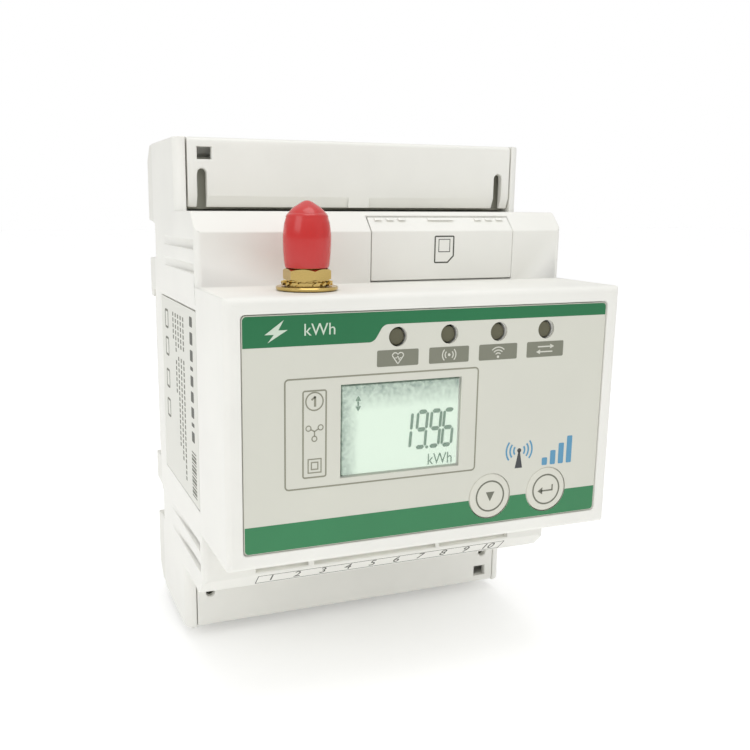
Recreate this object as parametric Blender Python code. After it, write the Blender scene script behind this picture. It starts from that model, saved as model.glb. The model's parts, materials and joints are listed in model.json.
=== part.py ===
"""Smart electric meter for a 35 mm rail, four modules wide, with an antenna socket on its front block.

The frame: X runs to the right, the front faces -Y and Z is up. The origin is the middle of the face
that seats on the rail. Sizes are in millimetres and become metres where a shape is placed. "Depth" is
measured backwards from the front face of the block, as on a maker's drawing.
"""

import math

import bmesh
import bpy
from mathutils import Matrix, Vector

MM = 0.001

# Overall body
WIDTH = 72.0
TOTAL_HEIGHT = 95.0
TOTAL_DEPTH = 64.0
BLOCK_HEIGHT = 43.8
STEP_HEIGHT = 68.8
STEP_DEPTH = 18.5
STEP_CHAMFER = 3.4
COVER_DEPTH = 34.2
WALL = 2.0
STEP_WALL = 3.3
FRONT_ROUND = 1.3
STEP_ROUND = 1.2
SIDE_ROUND = 2.2
ROUND_STEPS = 6
GAP = 0.3
REACH = 3.0

# Rear base and rail
RAIL_HEIGHT = 35.0
RAIL_THICKNESS = 1.0
RAIL_RECESS = 4.5
SEAM_AHEAD = 2.5
SEAT_HEIGHT = 31.6
SEAT_RELIEF = 0.3
HOOK_OVERLAP = 1.1
RAIL_PLAY = 0.4
BASE_WALL = 2.2
BASE_INSET = 0.3
NOTCH_START = 24.4
NOTCH_HEIGHT = 8.0
NOTCH_DEPTH = 8.3
NOTCH_TAPER = 0.7
REAR_CHAMFER = 3.0

# Rail clip
CLIP_WIDTH = 17.6
CLIP_WING = 2.1
CLIP_WING_THICKNESS = 1.0
CLIP_THICKNESS = 2.55
CLIP_SINK = 0.25
CLIP_LEAD = 1.4
CLIP_PULL_TAB = 2.2
CLIP_PLAY = 0.35
SPRING_RADIUS = 1.0
SPRING_WIRE = 0.18
SPRING_TURNS = 8
SPRING_LENGTH = 8.0
POST_HEIGHT = 1.6
POST_WIDTH = 2.4
POST_DROP = 7.3
TOOL_SLOT = (5.2, 1.4, 0.6)

# Terminal covers
COVER_WALL = 1.5
COVER_GAP = 0.7
HINGE_SETBACK = 5.8
HINGE_DROP = 1.65
TRUNNION_RADIUS = 0.9
TRUNNION_LENGTH = 1.1
COVER_SLOT_INSET = 2.65
COVER_SLOT_WIDTH = 1.8
UPPER_SLOT_TOP = 6.9
LOWER_SLOT_TOP = 6.2
SEAL_HOLE_INSET = 3.15
SEAL_HOLE_WIDTH = 2.7
SEAL_HOLE_HEIGHT = 2.2
SEAL_HOLE_GAP = 0.2
COVER_BEVEL = 2.0
COVER_BEVEL_DEPTH = 0.8
COVER_TAB_WIDTH = 4.4

# Terminal blocks
BLOCK_INSET = 2.5
SCREW_DROP = 6.9
SCREW_LENGTH = 7.6
SCREW_SINK = 0.6
SCREW_PLAY = 0.3
SLOT_WIDTH = 0.6
SLOT_CUT = 0.9
ENTRY_SETBACK = 12.3
ENTRY_BOTTOM = 9.2
LOWER_TERMINALS = 10
LOWER_PITCH = 5.08
LOWER_SCREW_RADIUS = 1.6
LOWER_ENTRY = (3.4, 5.0)
UPPER_TERMINALS = 6
UPPER_PITCH = 10.16
UPPER_SCREW_RADIUS = 2.2
UPPER_ENTRY = (5.2, 6.0)

# Card door on the upper step
DOOR_LEFT = -3.8
DOOR_RIGHT = 24.8
DOOR_THICKNESS = 1.3
DOOR_RISE = 2.4
DOOR_FOOT = 0.4
RIB_HEIGHT = 0.3
SMALL_RIB = 1.4
SMALL_RIB_PITCH = 2.3
SMALL_RIBS = 3
WIDE_RIB = 5.2
RIB_EDGE = 1.2
CARD_X = 10.5
CARD_WIDTH = 12.0
CARD_LENGTH = 15.0
CARD_THICKNESS = 0.8
CARD_DROP = 8.8
CARD_CORNER = 2.5
SOCKET_WALL = 1.0

# Front panel
OVERLAY_MARGIN = 2.9
OVERLAY_THICKNESS = 0.4
OVERLAY_SINK = 0.2
OVERLAY_CORNER = 0.7
LCD_X = -6.05
LCD_Z = -0.2
LCD_WIDTH = 21.7
LCD_HEIGHT = 15.4
LAMP_FIRST_X = -7.1
LAMP_PITCH = 9.35
LAMP_Z = 14.75
LAMPS = 4
LAMP_RADIUS = 1.6
PIPE_RADIUS = 1.4
KEY_X = (11.2, 22.7)
KEY_Z = -14.1
KEY_RADIUS = 3.8
KEY_COLLAR = 4.6
KEY_COLLAR_THICKNESS = 0.8
KEY_STEM = 1.5
KEY_PROUD = 0.3
KEY_TRAVEL = 0.5
SLIT_HEIGHT = 2.6
SLIT_DEPTH = 1.2
SLITS = ((-26.0, -15.9), (-14.6, 10.7), (11.7, 27.1))

# Side details
GROOVE_DROPS = (9.5, 5.5)
GROOVE_HEIGHT = 1.5
GROOVE_DEPTH = 1.2
GROOVE_END = 46.0
LABEL_HEIGHT = 35.4
LABEL_FRONT = 19.6
LABEL_REAR = 50.6
LABEL_THICKNESS = 0.2

# Antenna socket
ANTENNA_X = -19.6
ANTENNA_DEPTH = 9.1
THREAD_RADIUS = 3.17
THREAD_TOP = 11.6
STACK_GAP = 0.1
BODY_HEX_HEIGHT = 1.6
FERRULE_RADIUS = 1.6
FERRULE_LENGTH = 2.2
SOCKET_BORE = 1.9
SOCKET_BORE_DEPTH = 2.6
WASHER_PLAY = 0.23
FLAT_WASHER = (1.7, 0.6)
LOCK_WASHER = (0.9, 0.8)
NUT_PLAY = 0.2
NUT_WALL = 0.63
NUT_HEIGHT = 1.9
CAP_PLAY = 0.28
CAP_WALL = 0.5
CAP_HEIGHT = 10.7
CAP_BORE_DEPTH = 8.7
LEAD_RADIUS = 0.7

# Electronics
BOARD = 1.6
FRONT_BOARD_DEPTH = 9.0
BOARD_MARGIN = 0.8
POWER_BOARD_DEPTH = 38.4
POWER_BOARD_HEIGHT = 63.0
GLASS_THICKNESS = 1.8
GLASS_BORDER = 2.2
LIGHT_GUIDE = 3.0
SWITCH_SIZE = 4.5
SWITCH_HEIGHT = 2.8
PLUNGER_RADIUS = 1.0
RADIO_SIZE = (18.0, 20.0, 2.6)
CORE_RADIUS = 6.6
CORE_BORE = 2.6
CORE_LENGTH = 7.0
CORE_PITCH = 15.4
CORE_Z = -20.0
LINK_BOARD_X = 28.0
LINK_BOARD_HEIGHT = 28.0
TRANSFORMER_X = (8.0, 24.0)
TRANSFORMER_Z = (-16.0, 2.0)
TRANSFORMER_HEIGHT = 15.0
CAPACITOR_RADIUS = 5.0
CAPACITOR_LENGTH = 16.0
CAPACITOR_PLACE = (0.0, -8.0)
BATTERY_RADIUS = 6.0
BATTERY_LENGTH = 5.4
BATTERY_PLACE = (-24.0, 22.0)
CHIP_X = (-12.0, -2.0)
CHIP_Z = (8.0, 18.0)
CHIP_HEIGHT = 1.2

HALF_WIDTH = WIDTH / 2
HALF_HEIGHT = TOTAL_HEIGHT / 2
BLOCK_HALF = BLOCK_HEIGHT / 2
STEP_HALF = STEP_HEIGHT / 2
BAY_HALF = HALF_WIDTH - WALL - 0.15
INNER_HALF = HALF_WIDTH - WALL
RAIL_HALF = RAIL_HEIGHT / 2
SEAT_DEPTH = TOTAL_DEPTH - RAIL_RECESS
SEAM_DEPTH = SEAT_DEPTH - SEAM_AHEAD
HOOK_SLOT = RAIL_THICKNESS + RAIL_PLAY
CLIP_FRONT = SEAT_DEPTH + HOOK_SLOT + CLIP_SINK
CLIP_REAR = CLIP_FRONT + CLIP_THICKNESS
CLIP_JAW = -(RAIL_HALF - HOOK_OVERLAP)
POST_TOP = -(HALF_HEIGHT - POST_DROP)
WELL_DEPTH = TOTAL_DEPTH - NOTCH_DEPTH
BASE_FRONT = WELL_DEPTH - BASE_WALL
COVER_FOOT = STEP_HALF + COVER_GAP
HINGE_Z = HALF_HEIGHT - HINGE_DROP
HINGE_DEPTH = COVER_DEPTH + HINGE_SETBACK
COVER_HALF = BAY_HALF - GAP
BLOCK_FRONT = COVER_DEPTH + BLOCK_INSET
BLOCK_LOW_TOP = HINGE_Z - HINGE_DROP - GAP
BLOCK_CREST_DEPTH = HINGE_DEPTH + HINGE_DROP + 2 * GAP
ENTRY_DEPTH = BLOCK_FRONT + ENTRY_SETBACK
DOOR_TOP = STEP_HALF - STEP_CHAMFER + DOOR_RISE
BLOCK_FLOOR = STEP_HALF + GAP
CARD_Z = STEP_HALF - CARD_DROP
WASHER_BORE = THREAD_RADIUS + WASHER_PLAY
NUT_BORE = THREAD_RADIUS + NUT_PLAY
NUT_FLATS = 2 * (NUT_BORE + NUT_WALL)
CAP_BORE = THREAD_RADIUS + CAP_PLAY
CAP_RADIUS = CAP_BORE + CAP_WALL

CREAM = ("cream_plastic", (0.75, 0.74, 0.68), 0.45, 0.0)
CREAM_DARK = ("base_plastic", (0.66, 0.65, 0.59), 0.5, 0.0)
BLOCK_GREY = ("terminal_plastic", (0.12, 0.13, 0.12), 0.5, 0.0)
FILM = ("printed_film", (0.62, 0.62, 0.55), 0.4, 0.0)
KEY_FILM = ("key_film", (0.68, 0.68, 0.6), 0.4, 0.0)
CLEAR = ("window_acrylic", (0.68, 0.8, 0.68), 0.1, 0.0)
CELL = ("display_cell", (0.55, 0.66, 0.5), 0.2, 0.0)
OLIVE = ("lamp_lens", (0.1, 0.11, 0.06), 0.25, 0.0)
PAPER = ("label_paper", (0.6, 0.6, 0.55), 0.6, 0.0)
RED = ("red_vinyl", (0.64, 0.07, 0.06), 0.35, 0.0)
GOLD = ("gold_plate", (0.75, 0.55, 0.2), 0.25, 1.0)
STEEL = ("zinc_steel", (0.6, 0.6, 0.6), 0.35, 1.0)
LAMINATE = ("board_laminate", (0.03, 0.2, 0.08), 0.5, 0.0)
BLACK = ("black_plastic", (0.03, 0.03, 0.03), 0.45, 0.0)
WHITE = ("white_plastic", (0.8, 0.8, 0.78), 0.4, 0.0)
BLUE = ("blue_sleeve", (0.05, 0.15, 0.5), 0.4, 0.0)


def clear_scene():
    for thing in list(bpy.data.objects):
        bpy.data.objects.remove(thing, do_unlink=True)


def finish_of(kind):
    """The Principled material for one finish, made once."""
    name, colour, roughness, metallic = kind
    material = bpy.data.materials.get(name)
    if material is None:
        material = bpy.data.materials.new(name)
        material.use_nodes = True
        shader = material.node_tree.nodes["Principled BSDF"]
        shader.inputs["Base Color"].default_value = (*colour, 1.0)
        shader.inputs["Roughness"].default_value = roughness
        shader.inputs["Metallic"].default_value = metallic
    return material


def place(x, depth, z):
    """A point in metres from millimetres and a depth behind the front face."""
    return Vector((x, depth - SEAT_DEPTH, z)) * MM


def solid(name, form, kind, origin=None, parent=None):
    """Make an object of a mesh being built, with its origin on the given point."""
    bmesh.ops.recalc_face_normals(form, faces=form.faces)
    if form.calc_volume(signed=True) < 0:
        bmesh.ops.reverse_faces(form, faces=form.faces)
    if origin is not None:
        bmesh.ops.translate(form, verts=form.verts, vec=-origin)
    mesh = bpy.data.meshes.new(name)
    form.to_mesh(mesh)
    form.free()
    thing = bpy.data.objects.new(name, mesh)
    bpy.context.collection.objects.link(thing)
    mesh.materials.append(finish_of(kind))
    if origin is not None:
        thing.location = origin
    if parent is not None:
        thing.parent = parent
    return thing


def round_shading(thing):
    thing.data.shade_smooth()
    thing.data.set_sharp_from_angle(angle=math.radians(35))
    return thing


def cut(target, name, form, join=False):
    """Cut a shape from an object, or join it on, with a Boolean that stays on the object."""
    tool = solid(name, form, BLACK)
    tool.hide_render = True
    tool.display_type = "WIRE"
    step = target.modifiers.new(name, "BOOLEAN")
    step.operation = "UNION" if join else "DIFFERENCE"
    step.solver = "EXACT"
    step.object = tool
    return target


def add_box(form, x_range, depth_range, z_range):
    low = place(x_range[0], depth_range[0], z_range[0])
    high = place(x_range[1], depth_range[1], z_range[1])
    size = high - low
    matrix = Matrix.Translation((low + high) / 2) @ Matrix.Diagonal((*size, 1.0))
    bmesh.ops.create_cube(form, size=1.0, matrix=matrix)


def add_prism(form, outline, x_range):
    """Extrude an outline of (depth, z) points along X."""
    corners = [form.verts.new(place(x_range[0], depth, z)) for depth, z in outline]
    face = form.faces.new(corners)
    sweep = bmesh.ops.extrude_face_region(form, geom=[face])
    moved = [item for item in sweep["geom"] if isinstance(item, bmesh.types.BMVert)]
    bmesh.ops.translate(form, verts=moved, vec=Vector((x_range[1] - x_range[0], 0, 0)) * MM)


def add_rod(form, centre, radius, length, axis="Y", sides=24, tip_radius=None):
    """A cylinder or cone that starts at its centre point and runs along +axis."""
    turn = {"X": Matrix.Rotation(math.pi / 2, 4, "Y"), "Y": Matrix.Rotation(-math.pi / 2, 4, "X"),
            "Z": Matrix.Identity(4)}[axis]
    lift = Matrix.Translation((0, 0, length * MM / 2))
    far = radius if tip_radius is None else tip_radius
    bmesh.ops.create_cone(form, cap_ends=True, segments=sides, radius1=radius * MM, radius2=far * MM,
                          depth=length * MM, matrix=Matrix.Translation(place(*centre)) @ turn @ lift)


def add_turned(form, profile, centre, sides=24):
    """Spin a closed profile of (radius, height) points about a vertical axis."""
    base = place(*centre)
    ring = []
    for radius, height in profile:
        ring.append(form.verts.new(base + Vector((radius, 0, height)) * MM))
    edges = [form.edges.new((ring[i], ring[(i + 1) % len(ring)])) for i in range(len(ring))]
    bmesh.ops.spin(form, geom=ring + edges, cent=base, axis=(0, 0, 1), angle=math.tau,
                   steps=sides, use_merge=True)
    bmesh.ops.remove_doubles(form, verts=form.verts, dist=0.000002)


def box(name, kind, x_range, depth_range, z_range):
    form = bmesh.new()
    add_box(form, x_range, depth_range, z_range)
    return solid(name, form, kind)


def mirrored(outline, side):
    """The outline above the middle as it is, or turned over for the lower half."""
    return outline if side > 0 else [(depth, -z) for depth, z in outline]


def span(first, second):
    return (min(first, second), max(first, second))


# ---------------------------------------------------------------- housing


def half_profile():
    """The upper half of the stepped side view, from the front face back to the seam."""
    return [(0.0, BLOCK_HALF),
            (STEP_DEPTH, BLOCK_HALF),
            (STEP_DEPTH, STEP_HALF - STEP_CHAMFER),
            (STEP_DEPTH + STEP_CHAMFER, STEP_HALF),
            (COVER_DEPTH, STEP_HALF),
            (COVER_DEPTH, HALF_HEIGHT),
            (SEAM_DEPTH, HALF_HEIGHT)]


def edges_where(form, test):
    return [edge for edge in form.edges if all(test(vert.co) for vert in edge.verts)]


def round_edges(form, edges, radius, segments=3):
    bmesh.ops.bevel(form, geom=edges, offset=radius * MM, offset_type="OFFSET", segments=segments,
                    profile=0.5, affect="EDGES", clamp_overlap=True, material=-1)


def near(value, target):
    return abs(value - target) < 0.00001


def housing_blank():
    form = bmesh.new()
    upper = half_profile()
    lower = [(depth, -z) for depth, z in reversed(upper)]
    add_prism(form, upper + lower, (-HALF_WIDTH, HALF_WIDTH))
    front = place(0, 0, 0).y
    round_edges(form, edges_where(form, lambda co: near(co.y, front)), FRONT_ROUND, 4)
    bmesh.ops.triangulate(form, faces=form.faces)
    return form


def housing_cavity():
    """The room for the boards and the two terminal bays."""
    inner_step = STEP_HALF - WALL
    inner_block = BLOCK_HALF - WALL
    wall_end = STEP_DEPTH + STEP_WALL
    upper = [(WALL, inner_block), (wall_end, inner_block), (wall_end, inner_step),
             (SEAM_DEPTH + REACH, inner_step)]
    lower = [(depth, -z) for depth, z in reversed(upper)]
    form = bmesh.new()
    add_prism(form, upper + lower, (-INNER_HALF, INNER_HALF))
    for side in (1, -1):
        bay = span(side * STEP_HALF, side * (HALF_HEIGHT + REACH))
        add_box(form, (-BAY_HALF, BAY_HALF), (COVER_DEPTH - REACH, SEAM_DEPTH + REACH), bay)
    return form


def base_room():
    """The strip behind the step walls where the rear base reaches forward."""
    form = bmesh.new()
    for side in (1, -1):
        strip = span(side * (STEP_HALF - WALL - GAP), side * (STEP_HALF + GAP))
        add_box(form, (-BAY_HALF, BAY_HALF), (BASE_FRONT - GAP, SEAM_DEPTH + REACH), strip)
    return form


def upright_corners(corner_depth, radius, heights):
    """What is taken off to round the four upright corners at one depth, between two heights."""
    form = bmesh.new()
    centre_x = HALF_WIDTH - radius
    centre_depth = corner_depth + radius
    front = corner_depth - REACH
    outer = HALF_WIDTH + REACH
    for side in (1, -1):
        z_range = span(side * heights[0], side * heights[1])
        for hand in (1, -1):
            points = [(hand * centre_x, front), (hand * outer, front), (hand * outer, centre_depth)]
            for step in range(ROUND_STEPS + 1):
                angle = math.pi / 2 * step / ROUND_STEPS
                points.append((hand * (centre_x + radius * math.cos(angle)),
                               centre_depth - radius * math.sin(angle)))
            add_slab(form, points, z_range)
    return form


def side_notches():
    form = bmesh.new()
    for side in (1, -1):
        low = NOTCH_START + NOTCH_TAPER
        high = NOTCH_START + NOTCH_HEIGHT - NOTCH_TAPER
        outline = [(WELL_DEPTH, low), (TOTAL_DEPTH, NOTCH_START),
                   (TOTAL_DEPTH, NOTCH_START + NOTCH_HEIGHT), (WELL_DEPTH, high)]
        add_prism(form, mirrored(outline, side), (-HALF_WIDTH - REACH, HALF_WIDTH + REACH))
    return form


def grip_grooves():
    """Four grooves on each side that run out to nothing towards the rear."""
    form = bmesh.new()
    start = STEP_DEPTH + STEP_ROUND + GAP
    for side in (1, -1):
        for drop in GROOVE_DROPS:
            level = STEP_HALF - drop
            z_range = span(side * (level - GROOVE_HEIGHT / 2), side * (level + GROOVE_HEIGHT / 2))
            for hand in (1, -1):
                outer = hand * (HALF_WIDTH + REACH)
                floor = hand * (HALF_WIDTH - GROOVE_DEPTH)
                face = hand * HALF_WIDTH
                points = [(outer, start), (floor, start), (face, GROOVE_END), (outer, GROOVE_END)]
                add_slab(form, points, z_range)
    return form


def add_slab(form, points, z_range):
    """Extrude a plan of (x, depth) points upwards."""
    corners = [form.verts.new(place(x, depth, z_range[0])) for x, depth in points]
    face = form.faces.new(corners)
    sweep = bmesh.ops.extrude_face_region(form, geom=[face])
    moved = [item for item in sweep["geom"] if isinstance(item, bmesh.types.BMVert)]
    bmesh.ops.translate(form, verts=moved, vec=Vector((0, 0, z_range[1] - z_range[0])) * MM)


def overlay_plate(half_width, half_height, depth_range):
    """A flat plate with rounded corners, in front of the panel."""
    form = bmesh.new()
    add_box(form, (-half_width, half_width), depth_range, (-half_height, half_height))
    corners = [edge for edge in form.edges
               if abs((edge.verts[0].co - edge.verts[1].co).normalized().y) > 0.9]
    round_edges(form, corners, OVERLAY_CORNER, 3)
    return form


def lamp_places():
    return [LAMP_FIRST_X + LAMP_PITCH * index for index in range(LAMPS)]


def panel_holes(depth_range, lamp_radius, key_radius):
    """The openings for the display, the lamps and the keys."""
    form = bmesh.new()
    length = depth_range[1] - depth_range[0]
    add_box(form, (LCD_X - LCD_WIDTH / 2, LCD_X + LCD_WIDTH / 2), depth_range,
            (LCD_Z - LCD_HEIGHT / 2, LCD_Z + LCD_HEIGHT / 2))
    for x in lamp_places():
        add_rod(form, (x, depth_range[0], LAMP_Z), lamp_radius, length)
    for x in KEY_X:
        add_rod(form, (x, depth_range[0], KEY_Z), key_radius, length, sides=32)
    return form


def step_line(offset):
    """The front of the upper step moved inwards, from the block up to the door's top edge."""
    foot = BLOCK_HALF + DOOR_FOOT
    bend = STEP_HALF - STEP_CHAMFER
    slant = offset * (math.sqrt(2) - 1)
    return [(STEP_DEPTH + offset, foot),
            (STEP_DEPTH + offset, bend - slant),
            (STEP_DEPTH + DOOR_RISE + offset * math.sqrt(0.5), DOOR_TOP - offset * math.sqrt(0.5))]


def door_recess():
    form = bmesh.new()
    deep = step_line(DOOR_THICKNESS + GAP)
    rise = GAP
    top_depth, top_z = deep[-1]
    deep = [(deep[0][0], BLOCK_HALF + 0.1), deep[1], (top_depth + rise, top_z + rise)]
    outer = [(STEP_DEPTH + DOOR_RISE + rise - REACH, DOOR_TOP + rise + REACH),
             (STEP_DEPTH - REACH, DOOR_TOP + REACH), (STEP_DEPTH - REACH, BLOCK_HALF + 0.1)]
    add_prism(form, deep + outer, (DOOR_LEFT - GAP, DOOR_RIGHT + GAP))
    return form


def card_window():
    form = bmesh.new()
    half = CARD_WIDTH / 2 + SOCKET_WALL + 0.6
    add_box(form, (CARD_X - half, CARD_X + half), (STEP_DEPTH, STEP_DEPTH + STEP_WALL + 1.0),
            (CARD_Z - 2.2, CARD_Z + 3.2))
    return form


def strip_slits():
    form = bmesh.new()
    top = -(STEP_HALF - STEP_CHAMFER - 0.5 - SLIT_HEIGHT)
    for left, right in SLITS:
        add_box(form, (left, right), (STEP_DEPTH - REACH, STEP_DEPTH + SLIT_DEPTH), (top - SLIT_HEIGHT, top))
    return form


def hinge_sockets():
    form = bmesh.new()
    reach = TRUNNION_LENGTH + 2 * GAP
    for side in (1, -1):
        add_rod(form, (BAY_HALF - 0.2, HINGE_DEPTH, side * HINGE_Z), TRUNNION_RADIUS + GAP, reach, "X", 16)
        add_rod(form, (-BAY_HALF + 0.2 - reach, HINGE_DEPTH, side * HINGE_Z), TRUNNION_RADIUS + GAP,
                reach, "X", 16)
    return form


def antenna_hole():
    form = bmesh.new()
    add_rod(form, (ANTENNA_X, ANTENNA_DEPTH, BLOCK_HALF - WALL - 1.0), THREAD_RADIUS + GAP, WALL + 2.0, "Z")
    return form


def label_recess():
    form = bmesh.new()
    half = LABEL_HEIGHT / 2 + 0.2
    add_box(form, (-HALF_WIDTH - REACH, -HALF_WIDTH + LABEL_THICKNESS + GAP),
            (LABEL_FRONT - 0.2, LABEL_REAR + 0.2), (-half, half))
    return form


def make_housing():
    shell = solid("main_housing", housing_blank(), CREAM)
    cut(shell, "cutter_cavity", housing_cavity())
    cut(shell, "cutter_base_room", base_room())
    cut(shell, "cutter_notches", side_notches())
    step_heights = (BLOCK_HALF, STEP_HALF + REACH)
    wall_heights = (STEP_HALF, HALF_HEIGHT + REACH)
    cut(shell, "cutter_step_corners", upright_corners(STEP_DEPTH, STEP_ROUND, step_heights))
    cut(shell, "cutter_wall_corners", upright_corners(COVER_DEPTH, SIDE_ROUND, wall_heights))
    cut(shell, "cutter_grooves", grip_grooves())
    recess = OVERLAY_SINK + OVERLAY_THICKNESS + GAP
    cut(shell, "cutter_overlay", overlay_plate(HALF_WIDTH - OVERLAY_MARGIN + GAP,
                                               BLOCK_HALF - OVERLAY_MARGIN + GAP, (-REACH, recess)))
    cut(shell, "cutter_panel", panel_holes((recess - 0.4, WALL + 1.0), PIPE_RADIUS + GAP, KEY_RADIUS + GAP))
    cut(shell, "cutter_door", door_recess())
    cut(shell, "cutter_card", card_window())
    cut(shell, "cutter_slits", strip_slits())
    cut(shell, "cutter_hinges", hinge_sockets())
    cut(shell, "cutter_antenna", antenna_hole())
    cut(shell, "cutter_label", label_recess())
    return shell


# ---------------------------------------------------------------- rear base and clip


def rear_outline():
    """The base's side view: hooked recess for the rail, two notches, chamfered corners."""
    lip = RAIL_HALF - HOOK_OVERLAP
    slot_top = RAIL_HALF + RAIL_PLAY
    lip_front = SEAT_DEPTH + HOOK_SLOT
    notch_low = NOTCH_START + NOTCH_TAPER
    notch_high = NOTCH_START + NOTCH_HEIGHT - NOTCH_TAPER
    notch_end = NOTCH_START + NOTCH_HEIGHT
    crown = HALF_HEIGHT - 0.1
    front_low = STEP_HALF - GAP
    upper = [(SEAT_DEPTH, SEAT_HEIGHT / 2), (SEAT_DEPTH - SEAT_RELIEF, SEAT_HEIGHT / 2),
             (SEAT_DEPTH - SEAT_RELIEF, slot_top), (lip_front, slot_top), (lip_front, lip),
             (TOTAL_DEPTH - 0.8, lip), (TOTAL_DEPTH, lip + 0.8)]
    notch = [(TOTAL_DEPTH, NOTCH_START), (WELL_DEPTH, notch_low), (WELL_DEPTH, notch_high),
             (TOTAL_DEPTH, notch_end)]
    crest = [(TOTAL_DEPTH, crown - REAR_CHAMFER), (TOTAL_DEPTH - REAR_CHAMFER, crown),
             (SEAM_DEPTH + GAP, crown), (SEAM_DEPTH + GAP, front_low), (BASE_FRONT, front_low)]
    mouth = slot_top + 0.4
    lower = [(SEAT_DEPTH, -SEAT_HEIGHT / 2), (SEAT_DEPTH - SEAT_RELIEF, -SEAT_HEIGHT / 2),
             (SEAT_DEPTH - SEAT_RELIEF, -mouth), (TOTAL_DEPTH, -mouth)]
    below = lower + mirrored(notch + crest, -1)
    return upper + notch + crest + list(reversed(below))


def base_pockets():
    """Hollows that keep the base's walls even, open to the front."""
    form = bmesh.new()
    inside = INNER_HALF - GAP - BASE_WALL
    front = BASE_FRONT - REACH
    seat = SEAT_HEIGHT / 2 - 0.4
    add_box(form, (-inside, inside), (front, SEAT_DEPTH - BASE_WALL), (-seat, seat))
    for side in (1, -1):
        rib = span(side * (RAIL_HALF + RAIL_PLAY + BASE_WALL), side * (NOTCH_START - BASE_WALL + 0.4))
        crown = span(side * (NOTCH_START + NOTCH_HEIGHT + BASE_WALL + 0.2), side * (HALF_HEIGHT - BASE_WALL))
        add_box(form, (-inside, inside), (front, TOTAL_DEPTH - 2.5 * BASE_WALL), rib)
        add_box(form, (-inside, inside), (SEAM_DEPTH - 1.0, TOTAL_DEPTH - 2.5 * BASE_WALL), crown)
    return form


def base_side_strips():
    """The base is narrower where it stands inside the housing's walls."""
    form = bmesh.new()
    front = (BASE_FRONT - REACH, SEAM_DEPTH + GAP)
    tall = (-HALF_HEIGHT - REACH, HALF_HEIGHT + REACH)
    add_box(form, (INNER_HALF - GAP, HALF_WIDTH + REACH), front, tall)
    add_box(form, (-HALF_WIDTH - REACH, -INNER_HALF + GAP), front, tall)
    return form


def clip_channel_wide():
    form = bmesh.new()
    half = CLIP_WIDTH / 2 + CLIP_WING + CLIP_PLAY
    add_box(form, (-half, half), (CLIP_FRONT - CLIP_PLAY, CLIP_FRONT + CLIP_WING_THICKNESS + CLIP_PLAY),
            (-HALF_HEIGHT - REACH, -RAIL_HALF))
    return form


def clip_channel_mouth():
    form = bmesh.new()
    half = CLIP_WIDTH / 2 + CLIP_PLAY
    add_box(form, (-half, half), (CLIP_FRONT, TOTAL_DEPTH + REACH), (-HALF_HEIGHT - REACH, -RAIL_HALF))
    return form


def spring_post():
    form = bmesh.new()
    add_box(form, (-POST_WIDTH / 2, POST_WIDTH / 2), (CLIP_FRONT - 1.0, CLIP_REAR - 0.3),
            (POST_TOP - POST_HEIGHT, POST_TOP))
    return form


def make_base():
    form = bmesh.new()
    half = HALF_WIDTH - BASE_INSET
    add_prism(form, rear_outline(), (-half, half))
    base = solid("rear_base", form, CREAM_DARK)
    cut(base, "cutter_strips", base_side_strips())
    cut(base, "cutter_pockets", base_pockets())
    cut(base, "cutter_channel", clip_channel_wide())
    cut(base, "cutter_mouth", clip_channel_mouth())
    cut(base, "joined_post", spring_post(), join=True)
    return base


def clip_windows():
    """The spring's window, with room for the post to slide, and the slot for a screwdriver."""
    form = bmesh.new()
    half = POST_WIDTH / 2 + CLIP_PLAY
    top = POST_TOP + SPRING_LENGTH + 2 * GAP
    add_box(form, (-half, half), (CLIP_FRONT - 1.0, CLIP_REAR + 1.0), (POST_TOP - POST_HEIGHT - GAP, top))
    wide, tall, inset = TOOL_SLOT
    slot = -HALF_HEIGHT - inset
    add_box(form, (-wide / 2, wide / 2), (CLIP_FRONT - 1.0, CLIP_REAR + 1.0), (slot, slot + tall))
    return form


def make_clip(frame):
    form = bmesh.new()
    jaw = [(CLIP_FRONT, CLIP_JAW), (CLIP_REAR - CLIP_LEAD, CLIP_JAW), (CLIP_REAR, CLIP_JAW - CLIP_LEAD),
           (CLIP_REAR, -HALF_HEIGHT - CLIP_PULL_TAB), (CLIP_FRONT, -HALF_HEIGHT - CLIP_PULL_TAB)]
    add_prism(form, jaw, (-CLIP_WIDTH / 2, CLIP_WIDTH / 2))
    origin = place(0, CLIP_FRONT, CLIP_JAW)
    clip = solid("din_clip", form, BLACK, origin, frame)
    wings = bmesh.new()
    half = CLIP_WIDTH / 2 + CLIP_WING
    add_box(wings, (-half, half), (CLIP_FRONT, CLIP_FRONT + CLIP_WING_THICKNESS),
            (-HALF_HEIGHT + 1.0, -RAIL_HALF - 1.4))
    cut(clip, "joined_wings", wings, join=True)
    cut(clip, "cutter_window", clip_windows())
    return clip


def make_spring():
    """A short coil that pushes the clip up, drawn as one closed wire."""
    form = bmesh.new()
    centre = place(0, (CLIP_FRONT + CLIP_REAR) / 2, POST_TOP + GAP + SPRING_WIRE)
    steps = SPRING_TURNS * 9
    rise = (SPRING_LENGTH - 2 * SPRING_WIRE - GAP) * MM
    sides = 5
    rings = []
    for index in range(steps + 1):
        angle = math.tau * SPRING_TURNS * index / steps
        out = Vector((math.cos(angle), math.sin(angle), 0))
        middle = centre + out * SPRING_RADIUS * MM + Vector((0, 0, rise * index / steps))
        ring = []
        for side in range(sides):
            around = math.tau * side / sides
            ring.append(form.verts.new(middle + (out * math.cos(around) + Vector((0, 0, math.sin(around))))
                                       * SPRING_WIRE * MM))
        rings.append(ring)
    for first, second in zip(rings, rings[1:]):
        for side in range(sides):
            other = (side + 1) % sides
            form.faces.new((first[side], first[other], second[other], second[side]))
    form.faces.new(rings[0])
    form.faces.new(rings[-1])
    return round_shading(solid("clip_spring", form, STEEL))


# ---------------------------------------------------------------- terminal covers and blocks


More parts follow.
